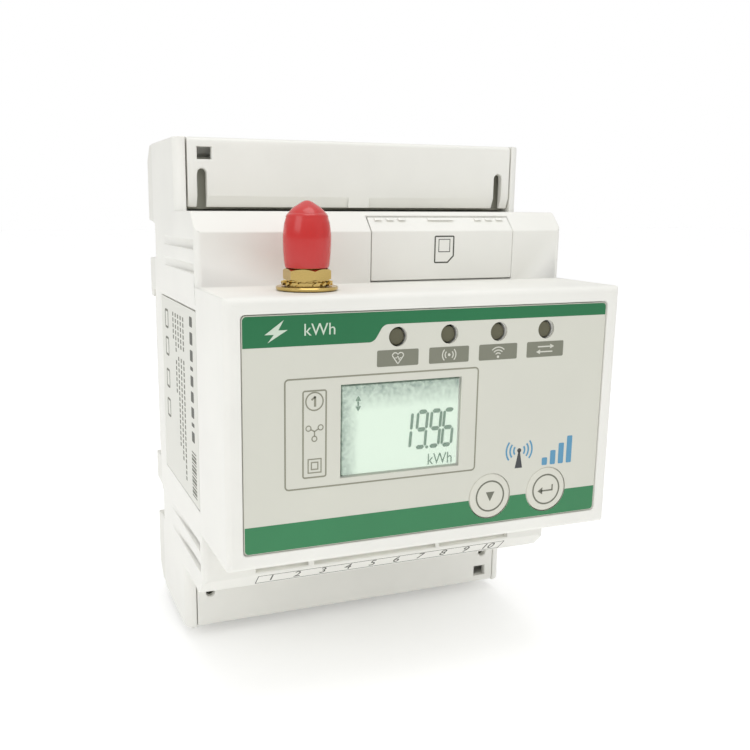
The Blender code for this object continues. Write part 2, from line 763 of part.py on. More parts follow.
def cover_outline():
    """An L: front plate, top plate and a round barrel on the hinge line."""
    radius = HINGE_DROP
    points = [(COVER_DEPTH, COVER_FOOT), (COVER_DEPTH, HALF_HEIGHT - 0.9),
              (COVER_DEPTH + 0.3, HALF_HEIGHT - 0.3), (COVER_DEPTH + 0.9, HALF_HEIGHT)]
    for index in range(9):
        angle = math.pi / 2 - math.radians(225) * index / 8
        points.append((HINGE_DEPTH + radius * math.cos(angle), HINGE_Z + radius * math.sin(angle)))
    under = HALF_HEIGHT - COVER_WALL
    points += [(HINGE_DEPTH - radius, under), (COVER_DEPTH + COVER_WALL, under),
               (COVER_DEPTH + COVER_WALL, COVER_FOOT)]
    return points


def cover_openings(side, hand):
    """Two long slots from the lower edge and one square hole for a seal wire."""
    form = bmesh.new()
    depths = (COVER_DEPTH - REACH, COVER_DEPTH + COVER_WALL + 1.0)
    half = COVER_SLOT_WIDTH / 2
    top = COVER_FOOT + (UPPER_SLOT_TOP if side > 0 else LOWER_SLOT_TOP)
    slot_x = COVER_HALF - COVER_SLOT_INSET
    for x in (-slot_x, slot_x):
        outline = [(x - half, COVER_FOOT - REACH), (x + half, COVER_FOOT - REACH), (x + half, top - half)]
        outline += [(x + half * math.cos(math.pi * i / 6), top - half + half * math.sin(math.pi * i / 6))
                    for i in range(1, 6)]
        outline.append((x - half, top - half))
        add_panel(form, [(px, side * pz) for px, pz in outline], depths)
    high = HALF_HEIGHT - COVER_WALL - SEAL_HOLE_GAP
    x = hand * (COVER_HALF - SEAL_HOLE_INSET)
    add_box(form, (x - SEAL_HOLE_WIDTH / 2, x + SEAL_HOLE_WIDTH / 2), depths,
            span(side * high, side * (high - SEAL_HOLE_HEIGHT)))
    return form


def add_panel(form, points, depth_range):
    """Extrude an outline of (x, z) points backwards."""
    corners = [form.verts.new(place(x, depth_range[0], z)) for x, z in points]
    face = form.faces.new(corners)
    sweep = bmesh.ops.extrude_face_region(form, geom=[face])
    moved = [item for item in sweep["geom"] if isinstance(item, bmesh.types.BMVert)]
    bmesh.ops.translate(form, verts=moved, vec=Vector((0, depth_range[1] - depth_range[0], 0)) * MM)


def cover_bevels(side):
    """The lower edge leans back on both sides of the finger tab."""
    form = bmesh.new()
    outline = [(COVER_DEPTH - 1.0, COVER_FOOT - 1.0), (COVER_DEPTH - 1.0, COVER_FOOT + COVER_BEVEL),
               (COVER_DEPTH, COVER_FOOT + COVER_BEVEL), (COVER_DEPTH + COVER_BEVEL_DEPTH, COVER_FOOT),
               (COVER_DEPTH + COVER_BEVEL_DEPTH, COVER_FOOT - 1.0)]
    outline = mirrored(outline, side)
    add_prism(form, outline, (-HALF_WIDTH, -COVER_TAB_WIDTH / 2))
    add_prism(form, outline, (COVER_TAB_WIDTH / 2, HALF_WIDTH))
    return form


def make_cover(name, side, hand, frame):
    form = bmesh.new()
    half = COVER_HALF
    add_prism(form, mirrored(cover_outline(), side), (-half, half))
    origin = place(0, HINGE_DEPTH, side * HINGE_Z)
    cover = solid(name, form, CREAM, origin, frame)
    pins = bmesh.new()
    for start in (half - 0.6, -half + 0.6 - TRUNNION_LENGTH - 0.6):
        add_rod(pins, (start, HINGE_DEPTH, side * HINGE_Z), TRUNNION_RADIUS, TRUNNION_LENGTH + 0.6, "X", 12)
    cut(cover, name + "_pins", pins, join=True)
    cut(cover, name + "_openings", cover_openings(side, hand))
    cut(cover, name + "_bevels", cover_bevels(side))
    return cover


def terminal_places(count, pitch):
    return [(index - (count - 1) / 2) * pitch for index in range(count)]


def block_outline():
    """Low in front, under the cover's top plate, and high behind the hinge."""
    low = BLOCK_LOW_TOP
    high = HALF_HEIGHT - GAP
    rear = SEAM_DEPTH - 0.1
    return [(BLOCK_FRONT, BLOCK_FLOOR), (BLOCK_FRONT, low), (BLOCK_CREST_DEPTH, low),
            (BLOCK_CREST_DEPTH, high), (rear, high), (rear, BLOCK_FLOOR)]


def make_terminal_block(name, side, places, screw_radius, entry):
    form = bmesh.new()
    half = COVER_HALF
    add_prism(form, mirrored(block_outline(), side), (-half, half))
    block = solid(name, form, BLOCK_GREY)
    screw_z = side * (HALF_HEIGHT - SCREW_DROP)
    bores = bmesh.new()
    entries = bmesh.new()
    for x in places:
        add_rod(bores, (x, BLOCK_FRONT - 1.0, screw_z), screw_radius + SCREW_PLAY,
                SCREW_SINK + SCREW_LENGTH + 1.0 + GAP, "Y", 12)
        add_box(entries, (x - entry[0] / 2, x + entry[0] / 2),
                (ENTRY_DEPTH - entry[1] / 2, ENTRY_DEPTH + entry[1] / 2),
                span(side * (HALF_HEIGHT - ENTRY_BOTTOM), side * (HALF_HEIGHT + 1.0)))
    cut(block, name + "_bores", bores)
    cut(block, name + "_entries", entries)
    return block


def make_screws(prefix, side, places, radius):
    """Slotted clamping screws, heads to the front."""
    screw_z = side * (HALF_HEIGHT - SCREW_DROP)
    start = BLOCK_FRONT + SCREW_SINK
    for number, x in enumerate(places, 1):
        form = bmesh.new()
        add_rod(form, (x, start, screw_z), radius, SCREW_LENGTH, "Y", 12)
        name = "%s_%02d" % (prefix, number)
        screw = solid(name, form, STEEL, place(x, start, screw_z))
        slot = bmesh.new()
        add_box(slot, (x - radius - 1.0, x + radius + 1.0), (start - 1.0, start + SLOT_CUT),
                (screw_z - SLOT_WIDTH / 2, screw_z + SLOT_WIDTH / 2))
        cut(screw, name + "_slot", slot)


# ---------------------------------------------------------------- card door and card


def rib_ranges():
    """Three short ribs at each end of the door's top edge and a wide one between them."""
    ranges = []
    for index in range(SMALL_RIBS):
        left = DOOR_LEFT + RIB_EDGE + SMALL_RIB_PITCH * index
        right = DOOR_RIGHT - RIB_EDGE - SMALL_RIB_PITCH * index
        ranges.append((left, left + SMALL_RIB))
        ranges.append((right - SMALL_RIB, right))
    middle = (DOOR_LEFT + DOOR_RIGHT) / 2
    ranges.append((middle - WIDE_RIB / 2, middle + WIDE_RIB / 2))
    return ranges


def make_door(frame):
    form = bmesh.new()
    outer = step_line(0.0)
    inner = step_line(DOOR_THICKNESS)
    add_prism(form, outer + list(reversed(inner)), (DOOR_LEFT, DOOR_RIGHT))
    origin = place((DOOR_LEFT + DOOR_RIGHT) / 2, STEP_DEPTH, BLOCK_HALF + DOOR_FOOT)
    door = solid("sim_cover", form, CREAM, origin, frame)
    ribs = bmesh.new()
    top_depth, top_z = outer[-1]
    for x_range in rib_ranges():
        outline = [(top_depth - 0.9, top_z - 0.5), (top_depth - 0.9, top_z - 0.9 + RIB_HEIGHT * 1.4),
                   (top_depth - RIB_HEIGHT * 1.4, top_z), (top_depth + 0.3, top_z - 0.1),
                   (top_depth + 0.3, top_z - 0.5)]
        add_prism(ribs, outline, x_range)
    cut(door, "joined_ribs", ribs, join=True)
    return door


def make_card_socket():
    front = STEP_DEPTH + STEP_WALL + GAP + 0.4
    rear = POWER_BOARD_DEPTH - GAP
    half = CARD_WIDTH / 2 + SOCKET_WALL
    socket = box("sim_socket", STEEL, (CARD_X - half, CARD_X + half), (front, rear),
                 (CARD_Z - SOCKET_WALL - GAP, CARD_Z + CARD_THICKNESS + GAP + SOCKET_WALL - 0.4))
    slot = bmesh.new()
    add_box(slot, (CARD_X - CARD_WIDTH / 2 - GAP, CARD_X + CARD_WIDTH / 2 + GAP),
            (front - 1.0, front + CARD_LENGTH - 1.2), (CARD_Z - GAP, CARD_Z + CARD_THICKNESS + GAP))
    cut(socket, "cutter_card_slot", slot)
    chip = bmesh.new()
    left = CARD_X - CARD_WIDTH / 2
    right = CARD_X + CARD_WIDTH / 2
    card_front = front - 1.6
    card_rear = card_front + CARD_LENGTH
    plan = [(left, card_front), (right, card_front), (right, card_rear), (left + CARD_CORNER, card_rear),
            (left, card_rear - CARD_CORNER)]
    add_slab(chip, plan, (CARD_Z, CARD_Z + CARD_THICKNESS))
    solid("sim_card", chip, WHITE)


# ---------------------------------------------------------------- front panel


def make_overlay():
    front = OVERLAY_SINK
    rear = OVERLAY_SINK + OVERLAY_THICKNESS
    plate = overlay_plate(HALF_WIDTH - OVERLAY_MARGIN, BLOCK_HALF - OVERLAY_MARGIN, (front, rear))
    overlay = solid("front_overlay", plate, FILM)
    cut(overlay, "cutter_overlay_holes", panel_holes((-1.0, rear + 1.0), LAMP_RADIUS, KEY_RADIUS + GAP))
    return overlay


def make_display():
    """Window, glass cell, light guide and the rubber strip that joins the cell to the board."""
    half_w = LCD_WIDTH / 2
    half_h = LCD_HEIGHT / 2
    window_rear = WALL - 0.1
    box("display_window", CLEAR, (LCD_X - half_w + GAP, LCD_X + half_w - GAP), (OVERLAY_SINK, window_rear),
        (LCD_Z - half_h + GAP, LCD_Z + half_h - GAP))
    glass_front = WALL + GAP
    glass_rear = glass_front + GLASS_THICKNESS
    wide = half_w + GLASS_BORDER
    tall = half_h + GLASS_BORDER
    box("display_glass", CELL, (LCD_X - wide, LCD_X + wide), (glass_front, glass_rear),
        (LCD_Z - tall, LCD_Z + tall))
    guide_front = glass_rear + GAP
    box("display_backlight", WHITE, (LCD_X - half_w, LCD_X + half_w),
        (guide_front, guide_front + LIGHT_GUIDE), (LCD_Z - half_h, LCD_Z + half_h))
    box("display_strip", BLACK, (LCD_X - half_w, LCD_X + half_w), (guide_front, FRONT_BOARD_DEPTH - GAP),
        (LCD_Z + half_h + GAP, LCD_Z + half_h + GAP + 1.6))


def make_light_pipes():
    front = OVERLAY_SINK + OVERLAY_THICKNESS + GAP
    for number, x in enumerate(lamp_places(), 1):
        form = bmesh.new()
        add_rod(form, (x, front, LAMP_Z), PIPE_RADIUS, FRONT_BOARD_DEPTH - GAP - front, "Y", 16)
        round_shading(solid("light_pipe_%d" % number, form, OLIVE))


def key_form(x):
    """A domed disc on a stem, with a collar that keeps it behind the panel."""
    profile_front = OVERLAY_SINK - KEY_PROUD
    collar_front = WALL + 0.1 + KEY_TRAVEL * 0.4
    form = bmesh.new()
    add_rod(form, (x, profile_front + 0.2, KEY_Z), KEY_RADIUS, collar_front - profile_front, "Y", 28)
    front_face = max(form.faces, key=lambda face: -face.calc_center_median().y)
    round_edges(form, list(front_face.edges), 0.3, 1)
    return form, collar_front


def make_key(name, x, frame):
    form, collar_front = key_form(x)
    origin = place(x, OVERLAY_SINK, KEY_Z)
    key = solid(name, form, KEY_FILM, origin, frame)
    tail = bmesh.new()
    add_rod(tail, (x, collar_front, KEY_Z), KEY_COLLAR, KEY_COLLAR_THICKNESS, "Y", 20)
    cut(key, name + "_collar", tail, join=True)
    stem = bmesh.new()
    plunger_top = FRONT_BOARD_DEPTH - GAP - SWITCH_HEIGHT - 0.7
    stem_end = plunger_top - KEY_TRAVEL - 0.1
    add_rod(stem, (x, collar_front + 0.2, KEY_Z), KEY_STEM, stem_end - collar_front - 0.2, "Y", 12)
    cut(key, name + "_stem", stem, join=True)
    return round_shading(key)


def make_switch(name, x):
    half = SWITCH_SIZE / 2
    rear = FRONT_BOARD_DEPTH - GAP
    switch = box(name, BLACK, (x - half, x + half), (rear - SWITCH_HEIGHT, rear),
                 (KEY_Z - half, KEY_Z + half))
    plunger = bmesh.new()
    add_rod(plunger, (x, rear - SWITCH_HEIGHT - 0.7, KEY_Z), PLUNGER_RADIUS, 1.2, "Y", 12)
    cut(switch, name + "_plunger", plunger, join=True)


def make_label():
    half = LABEL_HEIGHT / 2
    box("rating_label", PAPER, (-HALF_WIDTH, -HALF_WIDTH + LABEL_THICKNESS), (LABEL_FRONT, LABEL_REAR),
        (-half, half))


# ---------------------------------------------------------------- antenna socket


def stack_levels():
    """Heights of the parts on the socket's thread, from the block's top face up."""
    washer = BLOCK_HALF + STACK_GAP
    lock = washer + FLAT_WASHER[1] + STACK_GAP
    nut = lock + LOCK_WASHER[1] + STACK_GAP
    cap = nut + NUT_HEIGHT + STACK_GAP
    return washer, lock, nut, cap


def hexagon(form, height, flats, bottom):
    corner = flats / 2 / math.cos(math.pi / 6)
    centre = (ANTENNA_X, ANTENNA_DEPTH, bottom)
    add_rod(form, centre, corner, height, "Z", 6)


def make_ring(name, kind, sizes, bottom, sides=24):
    width, thickness = sizes
    outer = WASHER_BORE + width
    form = bmesh.new()
    profile = [(WASHER_BORE, 0), (outer, 0), (outer, thickness), (WASHER_BORE, thickness)]
    add_turned(form, profile, (ANTENNA_X, ANTENNA_DEPTH, bottom), sides)
    return round_shading(solid(name, form, kind))


def make_nut(bottom):
    form = bmesh.new()
    hexagon(form, NUT_HEIGHT, NUT_FLATS, bottom)
    nut = solid("antenna_nut", form, GOLD)
    bore = bmesh.new()
    add_rod(bore, (ANTENNA_X, ANTENNA_DEPTH, bottom - 1.0), NUT_BORE, NUT_HEIGHT + 2.0, "Z")
    cut(nut, "cutter_nut", bore)


def make_connector():
    """Threaded body with a hexagon inside the wall and a ferrule for the inner lead."""
    form = bmesh.new()
    hex_top = BLOCK_HALF - WALL - STACK_GAP
    hex_bottom = hex_top - BODY_HEX_HEIGHT
    hexagon(form, BODY_HEX_HEIGHT, NUT_FLATS, hex_bottom)
    connector = solid("antenna_connector", form, GOLD)
    thread = bmesh.new()
    top = BLOCK_HALF + THREAD_TOP
    add_rod(thread, (ANTENNA_X, ANTENNA_DEPTH, hex_bottom + 0.4), THREAD_RADIUS, top - hex_bottom - 0.4, "Z")
    cut(connector, "joined_thread", thread, join=True)
    ferrule = bmesh.new()
    add_rod(ferrule, (ANTENNA_X, ANTENNA_DEPTH, hex_bottom - FERRULE_LENGTH), FERRULE_RADIUS,
            FERRULE_LENGTH + 0.6, "Z", 16)
    cut(connector, "joined_ferrule", ferrule, join=True)
    bore = bmesh.new()
    add_rod(bore, (ANTENNA_X, ANTENNA_DEPTH, top - SOCKET_BORE_DEPTH), SOCKET_BORE,
            SOCKET_BORE_DEPTH + 1.0, "Z", 16)
    cut(connector, "cutter_socket", bore)
    return hex_bottom - FERRULE_LENGTH


def make_dust_cap(bottom, frame):
    """A soft push-on cap: slightly barrelled, domed, with a blunt nib."""
    form = bmesh.new()
    height = CAP_HEIGHT
    outer = [(CAP_RADIUS * 0.92, 0.0), (CAP_RADIUS * 0.97, 1.6), (CAP_RADIUS, 4.6), (CAP_RADIUS * 0.98, 6.4),
             (CAP_RADIUS * 0.9, 7.8), (CAP_RADIUS * 0.66, 9.2), (CAP_RADIUS * 0.36, height - 0.45),
             (CAP_RADIUS * 0.16, height - 0.05)]
    inner = [(CAP_BORE * 0.9, CAP_BORE_DEPTH), (CAP_BORE, CAP_BORE_DEPTH - 0.5), (CAP_BORE, 0.0)]
    centre = (ANTENNA_X, ANTENNA_DEPTH, bottom)
    base = place(*centre)
    chain = [(0.0, height)] + list(reversed(outer)) + list(reversed(inner)) + [(0.0, CAP_BORE_DEPTH)]
    verts = [form.verts.new(base + Vector((radius, 0, level)) * MM) for radius, level in chain]
    edges = [form.edges.new(pair) for pair in zip(verts, verts[1:])]
    bmesh.ops.spin(form, geom=verts + edges, cent=base, axis=(0, 0, 1), angle=math.tau, steps=24,
                   use_merge=True)
    bmesh.ops.remove_doubles(form, verts=form.verts, dist=0.000002)
    return round_shading(solid("antenna_cap", form, RED, base, frame))


def make_lead(start_z):
    """The thin coaxial lead from the socket's ferrule to the radio module."""
    radio_top = place(0, 0, RADIO_SIZE[1] / 2 - 2.0).z + 0.0002
    depth = FRONT_BOARD_DEPTH + BOARD + GAP + RADIO_SIZE[2] / 2
    ends = [place(ANTENNA_X, ANTENNA_DEPTH, start_z - GAP)]
    ends.append(place(ANTENNA_X, ANTENNA_DEPTH + 0.1, start_z - 1.0))
    ends.append(place(ANTENNA_X, depth - 0.3, start_z - 3.4))
    ends.append(Vector((place(ANTENNA_X, 0, 0).x, place(0, depth, 0).y, radio_top + 0.0016)))
    ends.append(Vector((place(ANTENNA_X, 0, 0).x, place(0, depth, 0).y, radio_top + GAP * MM)))
    curve = bpy.data.curves.new("antenna_lead", "CURVE")
    curve.dimensions = "3D"
    curve.bevel_depth = LEAD_RADIUS * MM
    curve.bevel_resolution = 2
    curve.use_fill_caps = True
    line = curve.splines.new("POLY")
    points = smooth_path(ends, 5)
    line.points.add(len(points) - 1)
    for point, spot in zip(line.points, points):
        point.co = (*spot, 1.0)
    lead = bpy.data.objects.new("antenna_lead", curve)
    bpy.context.collection.objects.link(lead)
    curve.materials.append(finish_of(BLACK))


def smooth_path(ends, steps):
    """Points along a smooth curve through the given ones."""
    chain = [ends[0]] + ends + [ends[-1]]
    points = []
    for index in range(1, len(chain) - 2):
        before, first, second, after = chain[index - 1:index + 3]
        for step in range(steps):
            t = step / steps
            points.append(0.5 * (2 * first + (second - before) * t
                                 + (2 * before - 5 * first + 4 * second - after) * t * t
                                 + (3 * first - before - 3 * second + after) * t ** 3))
    points.append(ends[-1])
    return points


# ---------------------------------------------------------------- electronics


def make_front_board():
    half_w = INNER_HALF - BOARD_MARGIN
    half_h = BLOCK_HALF - WALL - BOARD_MARGIN
    board = box("front_board", LAMINATE, (-half_w, half_w), (FRONT_BOARD_DEPTH, FRONT_BOARD_DEPTH + BOARD),
                (-half_h, half_h))
    notch = bmesh.new()
    half = NUT_FLATS / 2 + 1.2
    add_box(notch, (ANTENNA_X - half, ANTENNA_X + half),
            (FRONT_BOARD_DEPTH - 1.0, FRONT_BOARD_DEPTH + BOARD + 1.0), (half_h - 7.4, half_h + 1.0))
    cut(board, "cutter_board_notch", notch)


def make_power_board():
    half_w = INNER_HALF - BOARD_MARGIN
    half_h = POWER_BOARD_HEIGHT / 2
    box("power_board", LAMINATE, (-half_w, half_w), (POWER_BOARD_DEPTH, POWER_BOARD_DEPTH + BOARD),
        (-half_h, half_h))


def add_can(name, kind, spot, radius, length):
    """A round can that stands on the front of the power board."""
    form = bmesh.new()
    front = POWER_BOARD_DEPTH - GAP - length
    add_rod(form, (spot[0], front, spot[1]), radius, length, "Y", 20)
    round_shading(solid(name, form, kind))


def make_board_parts():
    front_rear = FRONT_BOARD_DEPTH + BOARD + GAP
    power_front = POWER_BOARD_DEPTH - GAP
    power_rear = POWER_BOARD_DEPTH + BOARD + GAP
    wide, tall, thick = RADIO_SIZE
    box("radio_module", STEEL, (ANTENNA_X - wide / 2 + 2.0, ANTENNA_X + wide / 2 + 2.0),
        (front_rear, front_rear + thick), (-tall / 2 - 2.0, tall / 2 - 2.0))
    half = LINK_BOARD_HEIGHT / 2
    box("link_board", LAMINATE, (LINK_BOARD_X, LINK_BOARD_X + BOARD), (front_rear, power_front),
        (-half, half))
    box("supply_transformer", BLACK, TRANSFORMER_X, (power_front - TRANSFORMER_HEIGHT, power_front),
        TRANSFORMER_Z)
    add_can("supply_capacitor", BLUE, CAPACITOR_PLACE, CAPACITOR_RADIUS, CAPACITOR_LENGTH)
    add_can("backup_battery", STEEL, BATTERY_PLACE, BATTERY_RADIUS, BATTERY_LENGTH)
    box("meter_chip", BLACK, CHIP_X, (power_front - CHIP_HEIGHT, power_front), CHIP_Z)
    for number in range(3):
        x = (number - 1) * CORE_PITCH
        form = bmesh.new()
        add_rod(form, (x, power_rear, CORE_Z), CORE_RADIUS, CORE_LENGTH, "Y", 20)
        core = solid("current_transformer_%d" % (number + 1), form, BLUE)
        bore = bmesh.new()
        add_rod(bore, (x, power_rear - 1.0, CORE_Z), CORE_BORE, CORE_LENGTH + 2.0, "Y", 12)
        cut(core, "cutter_core_%d" % (number + 1), bore)
        round_shading(core)


def make_frame():
    """An empty at the origin that carries the moving pieces."""
    frame = bpy.data.objects.new("meter_frame", None)
    bpy.context.collection.objects.link(frame)
    return frame


clear_scene()
meter_frame = make_frame()
make_base()
make_clip(meter_frame)
make_spring()
make_housing()
make_cover("top_terminal_cover", 1, -1, meter_frame)
make_cover("bottom_terminal_cover", -1, 1, meter_frame)
upper_places = terminal_places(UPPER_TERMINALS, UPPER_PITCH)
lower_places = terminal_places(LOWER_TERMINALS, LOWER_PITCH)
make_terminal_block("top_terminal_block", 1, upper_places, UPPER_SCREW_RADIUS, UPPER_ENTRY)
make_terminal_block("bottom_terminal_block", -1, lower_places, LOWER_SCREW_RADIUS, LOWER_ENTRY)
make_screws("top_screw", 1, upper_places, UPPER_SCREW_RADIUS)
make_screws("bottom_screw", -1, lower_places, LOWER_SCREW_RADIUS)
make_door(meter_frame)
make_card_socket()
make_overlay()
make_display()
make_light_pipes()
make_key("key_down", KEY_X[0], meter_frame)
make_key("key_enter", KEY_X[1], meter_frame)
make_switch("key_switch_down", KEY_X[0])
make_switch("key_switch_enter", KEY_X[1])
make_label()
washer_z, lock_z, nut_z, cap_z = stack_levels()
make_ring("flat_washer", GOLD, FLAT_WASHER, washer_z)
make_ring("lock_washer", GOLD, LOCK_WASHER, lock_z, 20)
make_nut(nut_z)
ferrule_end = make_connector()
make_dust_cap(cap_z, meter_frame)
make_lead(ferrule_end)
make_front_board()
make_power_board()
make_board_parts()
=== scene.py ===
"""A four-module smart electric meter on its rail frame: the looks.

Lengths are in millimetres and become metres through MM. "Depth" is measured backwards from the
front face of the block, which DEPTH_ZERO places in the frame. Prints are drawn flat, then laid.
"""

import json
import math

import bmesh
import bpy
from mathutils import Matrix, Vector


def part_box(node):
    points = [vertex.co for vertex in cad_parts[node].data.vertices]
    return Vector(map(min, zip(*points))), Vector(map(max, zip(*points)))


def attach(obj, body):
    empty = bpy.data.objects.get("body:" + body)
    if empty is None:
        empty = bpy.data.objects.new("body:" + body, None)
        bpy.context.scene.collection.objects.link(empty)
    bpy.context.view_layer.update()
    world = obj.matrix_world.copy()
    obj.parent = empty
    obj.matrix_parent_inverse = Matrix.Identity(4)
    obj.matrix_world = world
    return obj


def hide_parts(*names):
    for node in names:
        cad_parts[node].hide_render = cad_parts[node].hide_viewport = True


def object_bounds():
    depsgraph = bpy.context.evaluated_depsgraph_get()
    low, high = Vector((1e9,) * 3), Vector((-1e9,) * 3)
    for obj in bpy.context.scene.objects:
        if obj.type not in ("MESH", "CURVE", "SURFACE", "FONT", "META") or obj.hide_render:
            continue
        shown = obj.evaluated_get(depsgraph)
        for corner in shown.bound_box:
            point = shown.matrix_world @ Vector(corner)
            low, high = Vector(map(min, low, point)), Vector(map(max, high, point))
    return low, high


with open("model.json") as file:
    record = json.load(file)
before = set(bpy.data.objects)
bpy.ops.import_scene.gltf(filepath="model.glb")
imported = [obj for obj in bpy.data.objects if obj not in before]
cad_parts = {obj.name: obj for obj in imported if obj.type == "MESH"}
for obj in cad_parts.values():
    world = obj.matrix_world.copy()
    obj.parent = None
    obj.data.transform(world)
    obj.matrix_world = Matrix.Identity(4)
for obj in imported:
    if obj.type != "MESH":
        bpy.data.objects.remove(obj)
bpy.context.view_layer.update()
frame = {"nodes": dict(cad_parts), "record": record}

# The camera stands to the left of the meter and a little above it, with a slight roll.
# It is a normal lens about 18 cm from the meter's middle, near enough for a clear perspective.
MM = 0.001
DEPTH_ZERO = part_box("main_housing")[0].y / MM
CAMERA_SPOT = (-67.8, -127.0, 35.4)
CAMERA_YAW = 20.65
CAMERA_PITCH = 11.68
CAMERA_ROLL = 0.32
CAMERA_LENS = 42.2
CAMERA_SHIFT = (0.068, 0.017)


def spot(x, depth, z):
    """A point in metres from millimetres and a depth behind the front face."""
    return Vector((x, depth + DEPTH_ZERO, z)) * MM


def turned(angle, axis):
    return Matrix.Rotation(math.radians(angle), 4, axis)


def link(thing):
    bpy.context.collection.objects.link(thing)
    return thing


lens = bpy.data.cameras.new("camera")
lens.sensor_width = 36
lens.lens = CAMERA_LENS
lens.shift_x, lens.shift_y = CAMERA_SHIFT
lens.clip_start = 0.005
lens.clip_end = 20
camera = link(bpy.data.objects.new("camera", lens))
aim = turned(-CAMERA_YAW, "Z") @ turned(90 - CAMERA_PITCH, "X") @ turned(CAMERA_ROLL, "Z")
camera.matrix_world = Matrix.Translation(spot(*CAMERA_SPOT)) @ aim
bpy.context.scene.camera = camera


# The studio: a pale floor just below the meter, a white surround and three soft panels.
# Light comes from above and from the left. Only the camera sees the surround as pure white.
FLOOR_DROP = 0.4
FLOOR_SIZE = 3.0
FLOOR_COLOUR = (0.95, 0.95, 0.95)
FLOOR_GLOW = 0.2
PANELS = [("key", (-400, -150, 230), 260, 0.28),
          ("fill", (300, -330, 90), 320, 0.04),
          ("top", (20, -60, 420), 260, 0.36)]
SURROUND_LOW = 0.42
SURROUND_HIGH = 1.07


def paint(name, colour, roughness, metallic=0.0):
    """A Principled material with its constants on the shader's own sockets."""
    made = bpy.data.materials.new(name)
    made.use_nodes = True
    shader = made.node_tree.nodes["Principled BSDF"]
    shader.inputs["Base Color"].default_value = (*colour, 1.0)
    shader.inputs["Roughness"].default_value = roughness
    shader.inputs["Metallic"].default_value = metallic
    return made


form = bmesh.new()
level = Matrix.Translation((0, 0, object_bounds()[0].z - FLOOR_DROP * MM))
bmesh.ops.create_grid(form, x_segments=1, y_segments=1, size=FLOOR_SIZE, matrix=level)
floor_mesh = bpy.data.meshes.new("floor")
form.to_mesh(floor_mesh)
form.free()
paper = paint("floor_paper", FLOOR_COLOUR, 0.85)
paper.node_tree.nodes["Principled BSDF"].inputs["Emission Color"].default_value = (1.0, 1.0, 1.0, 1.0)
paper.node_tree.nodes["Principled BSDF"].inputs["Emission Strength"].default_value = FLOOR_GLOW
floor_mesh.materials.append(paper)
link(bpy.data.objects.new("floor", floor_mesh))

for name, place, size, power in PANELS:
    panel = bpy.data.lights.new(name, "AREA")
    panel.size = size * MM
    panel.energy = power
    lamp = link(bpy.data.objects.new(name, panel))
    lamp.location = spot(*place)
    lamp.rotation_mode = "QUATERNION"
    lamp.rotation_quaternion = (spot(0, 20, 0) - lamp.location).to_track_quat("-Z", "Y")

world = bpy.data.worlds.new("studio")
world.use_nodes = True
sky = world.node_tree
surround = sky.nodes["Background"]
surround.inputs["Strength"].default_value = 1.0
height = sky.nodes.new("ShaderNodeSeparateXYZ")
sky.links.new(sky.nodes.new("ShaderNodeTexCoord").outputs["Generated"], height.inputs["Vector"])
rise = sky.nodes.new("ShaderNodeMapRange")
rise.inputs["To Min"].default_value = SURROUND_LOW
rise.inputs["To Max"].default_value = SURROUND_HIGH
sky.links.new(height.outputs["Z"], rise.inputs["Value"])
sky.links.new(rise.outputs["Result"], surround.inputs["Color"])
backdrop = sky.nodes.new("ShaderNodeBackground")
backdrop.inputs["Color"].default_value = (1.0, 1.0, 1.0, 1.0)
seen = sky.nodes.new("ShaderNodeMixShader")
sky.links.new(sky.nodes.new("ShaderNodeLightPath").outputs["Is Camera Ray"], seen.inputs["Fac"])
sky.links.new(surround.outputs["Background"], seen.inputs[1])
sky.links.new(backdrop.outputs["Background"], seen.inputs[2])
sky.links.new(seen.outputs["Shader"], sky.nodes["World Output"].inputs["Surface"])
bpy.context.scene.world = world
bpy.context.scene.view_settings.view_transform = "Standard"


# The housing is one moulding in warm white plastic with a fine spark-eroded skin. It is the shell
# of the frame, with its outer edges softened where their faces leave room, as a mould leaves them.
HOUSING_WHITE = (0.845, 0.84, 0.79)
HOUSING_EDGE = 0.22
FINE_GRAIN = 5200.0
SKIN_GRAIN = 0.004


def grained(name, colour, roughness, scale, depth, spread=0.03, metallic=0.0, coat=0.0):
    """A moulded or cast skin: fine grain in the surface, and slow drifts of tone and polish."""
    made = paint(name, colour, roughness, metallic)
    tree = made.node_tree
    shader = tree.nodes["Principled BSDF"]
    shader.inputs["Coat Weight"].default_value = coat
    shader.inputs["Coat Roughness"].default_value = 0.08
    place = tree.nodes.new("ShaderNodeTexCoord").outputs["Object"]
    fine = tree.nodes.new("ShaderNodeTexNoise")
    fine.inputs["Scale"].default_value = scale
    fine.inputs["Detail"].default_value = 3.0
    bump = tree.nodes.new("ShaderNodeBump")
    bump.inputs["Strength"].default_value = 0.35
    bump.inputs["Distance"].default_value = depth * MM
    slow = tree.nodes.new("ShaderNodeTexNoise")
    slow.inputs["Scale"].default_value = 60.0
    slow.inputs["Detail"].default_value = 5.0
    tone = tree.nodes.new("ShaderNodeValToRGB")
    tone.color_ramp.elements[0].position = 0.3
    tone.color_ramp.elements[1].position = 0.7
    tone.color_ramp.elements[0].color = (*[c * (1 - spread) for c in colour], 1.0)
    tone.color_ramp.elements[1].color = (*[min(1.0, c * (1 + spread)) for c in colour], 1.0)
    polish = tree.nodes.new("ShaderNodeMapRange")
    polish.inputs["To Min"].default_value = max(0.02, roughness - 0.06)
    polish.inputs["To Max"].default_value = roughness + 0.06
    tree.links.new(place, fine.inputs["Vector"])
    tree.links.new(place, slow.inputs["Vector"])
    tree.links.new(fine.outputs["Fac"], bump.inputs["Height"])
    tree.links.new(bump.outputs["Normal"], shader.inputs["Normal"])
    tree.links.new(slow.outputs["Fac"], tone.inputs["Fac"])
    tree.links.new(tone.outputs["Color"], shader.inputs["Base Color"])
    tree.links.new(slow.outputs["Fac"], polish.inputs["Value"])
    tree.links.new(polish.outputs["Result"], shader.inputs["Roughness"])
    return made


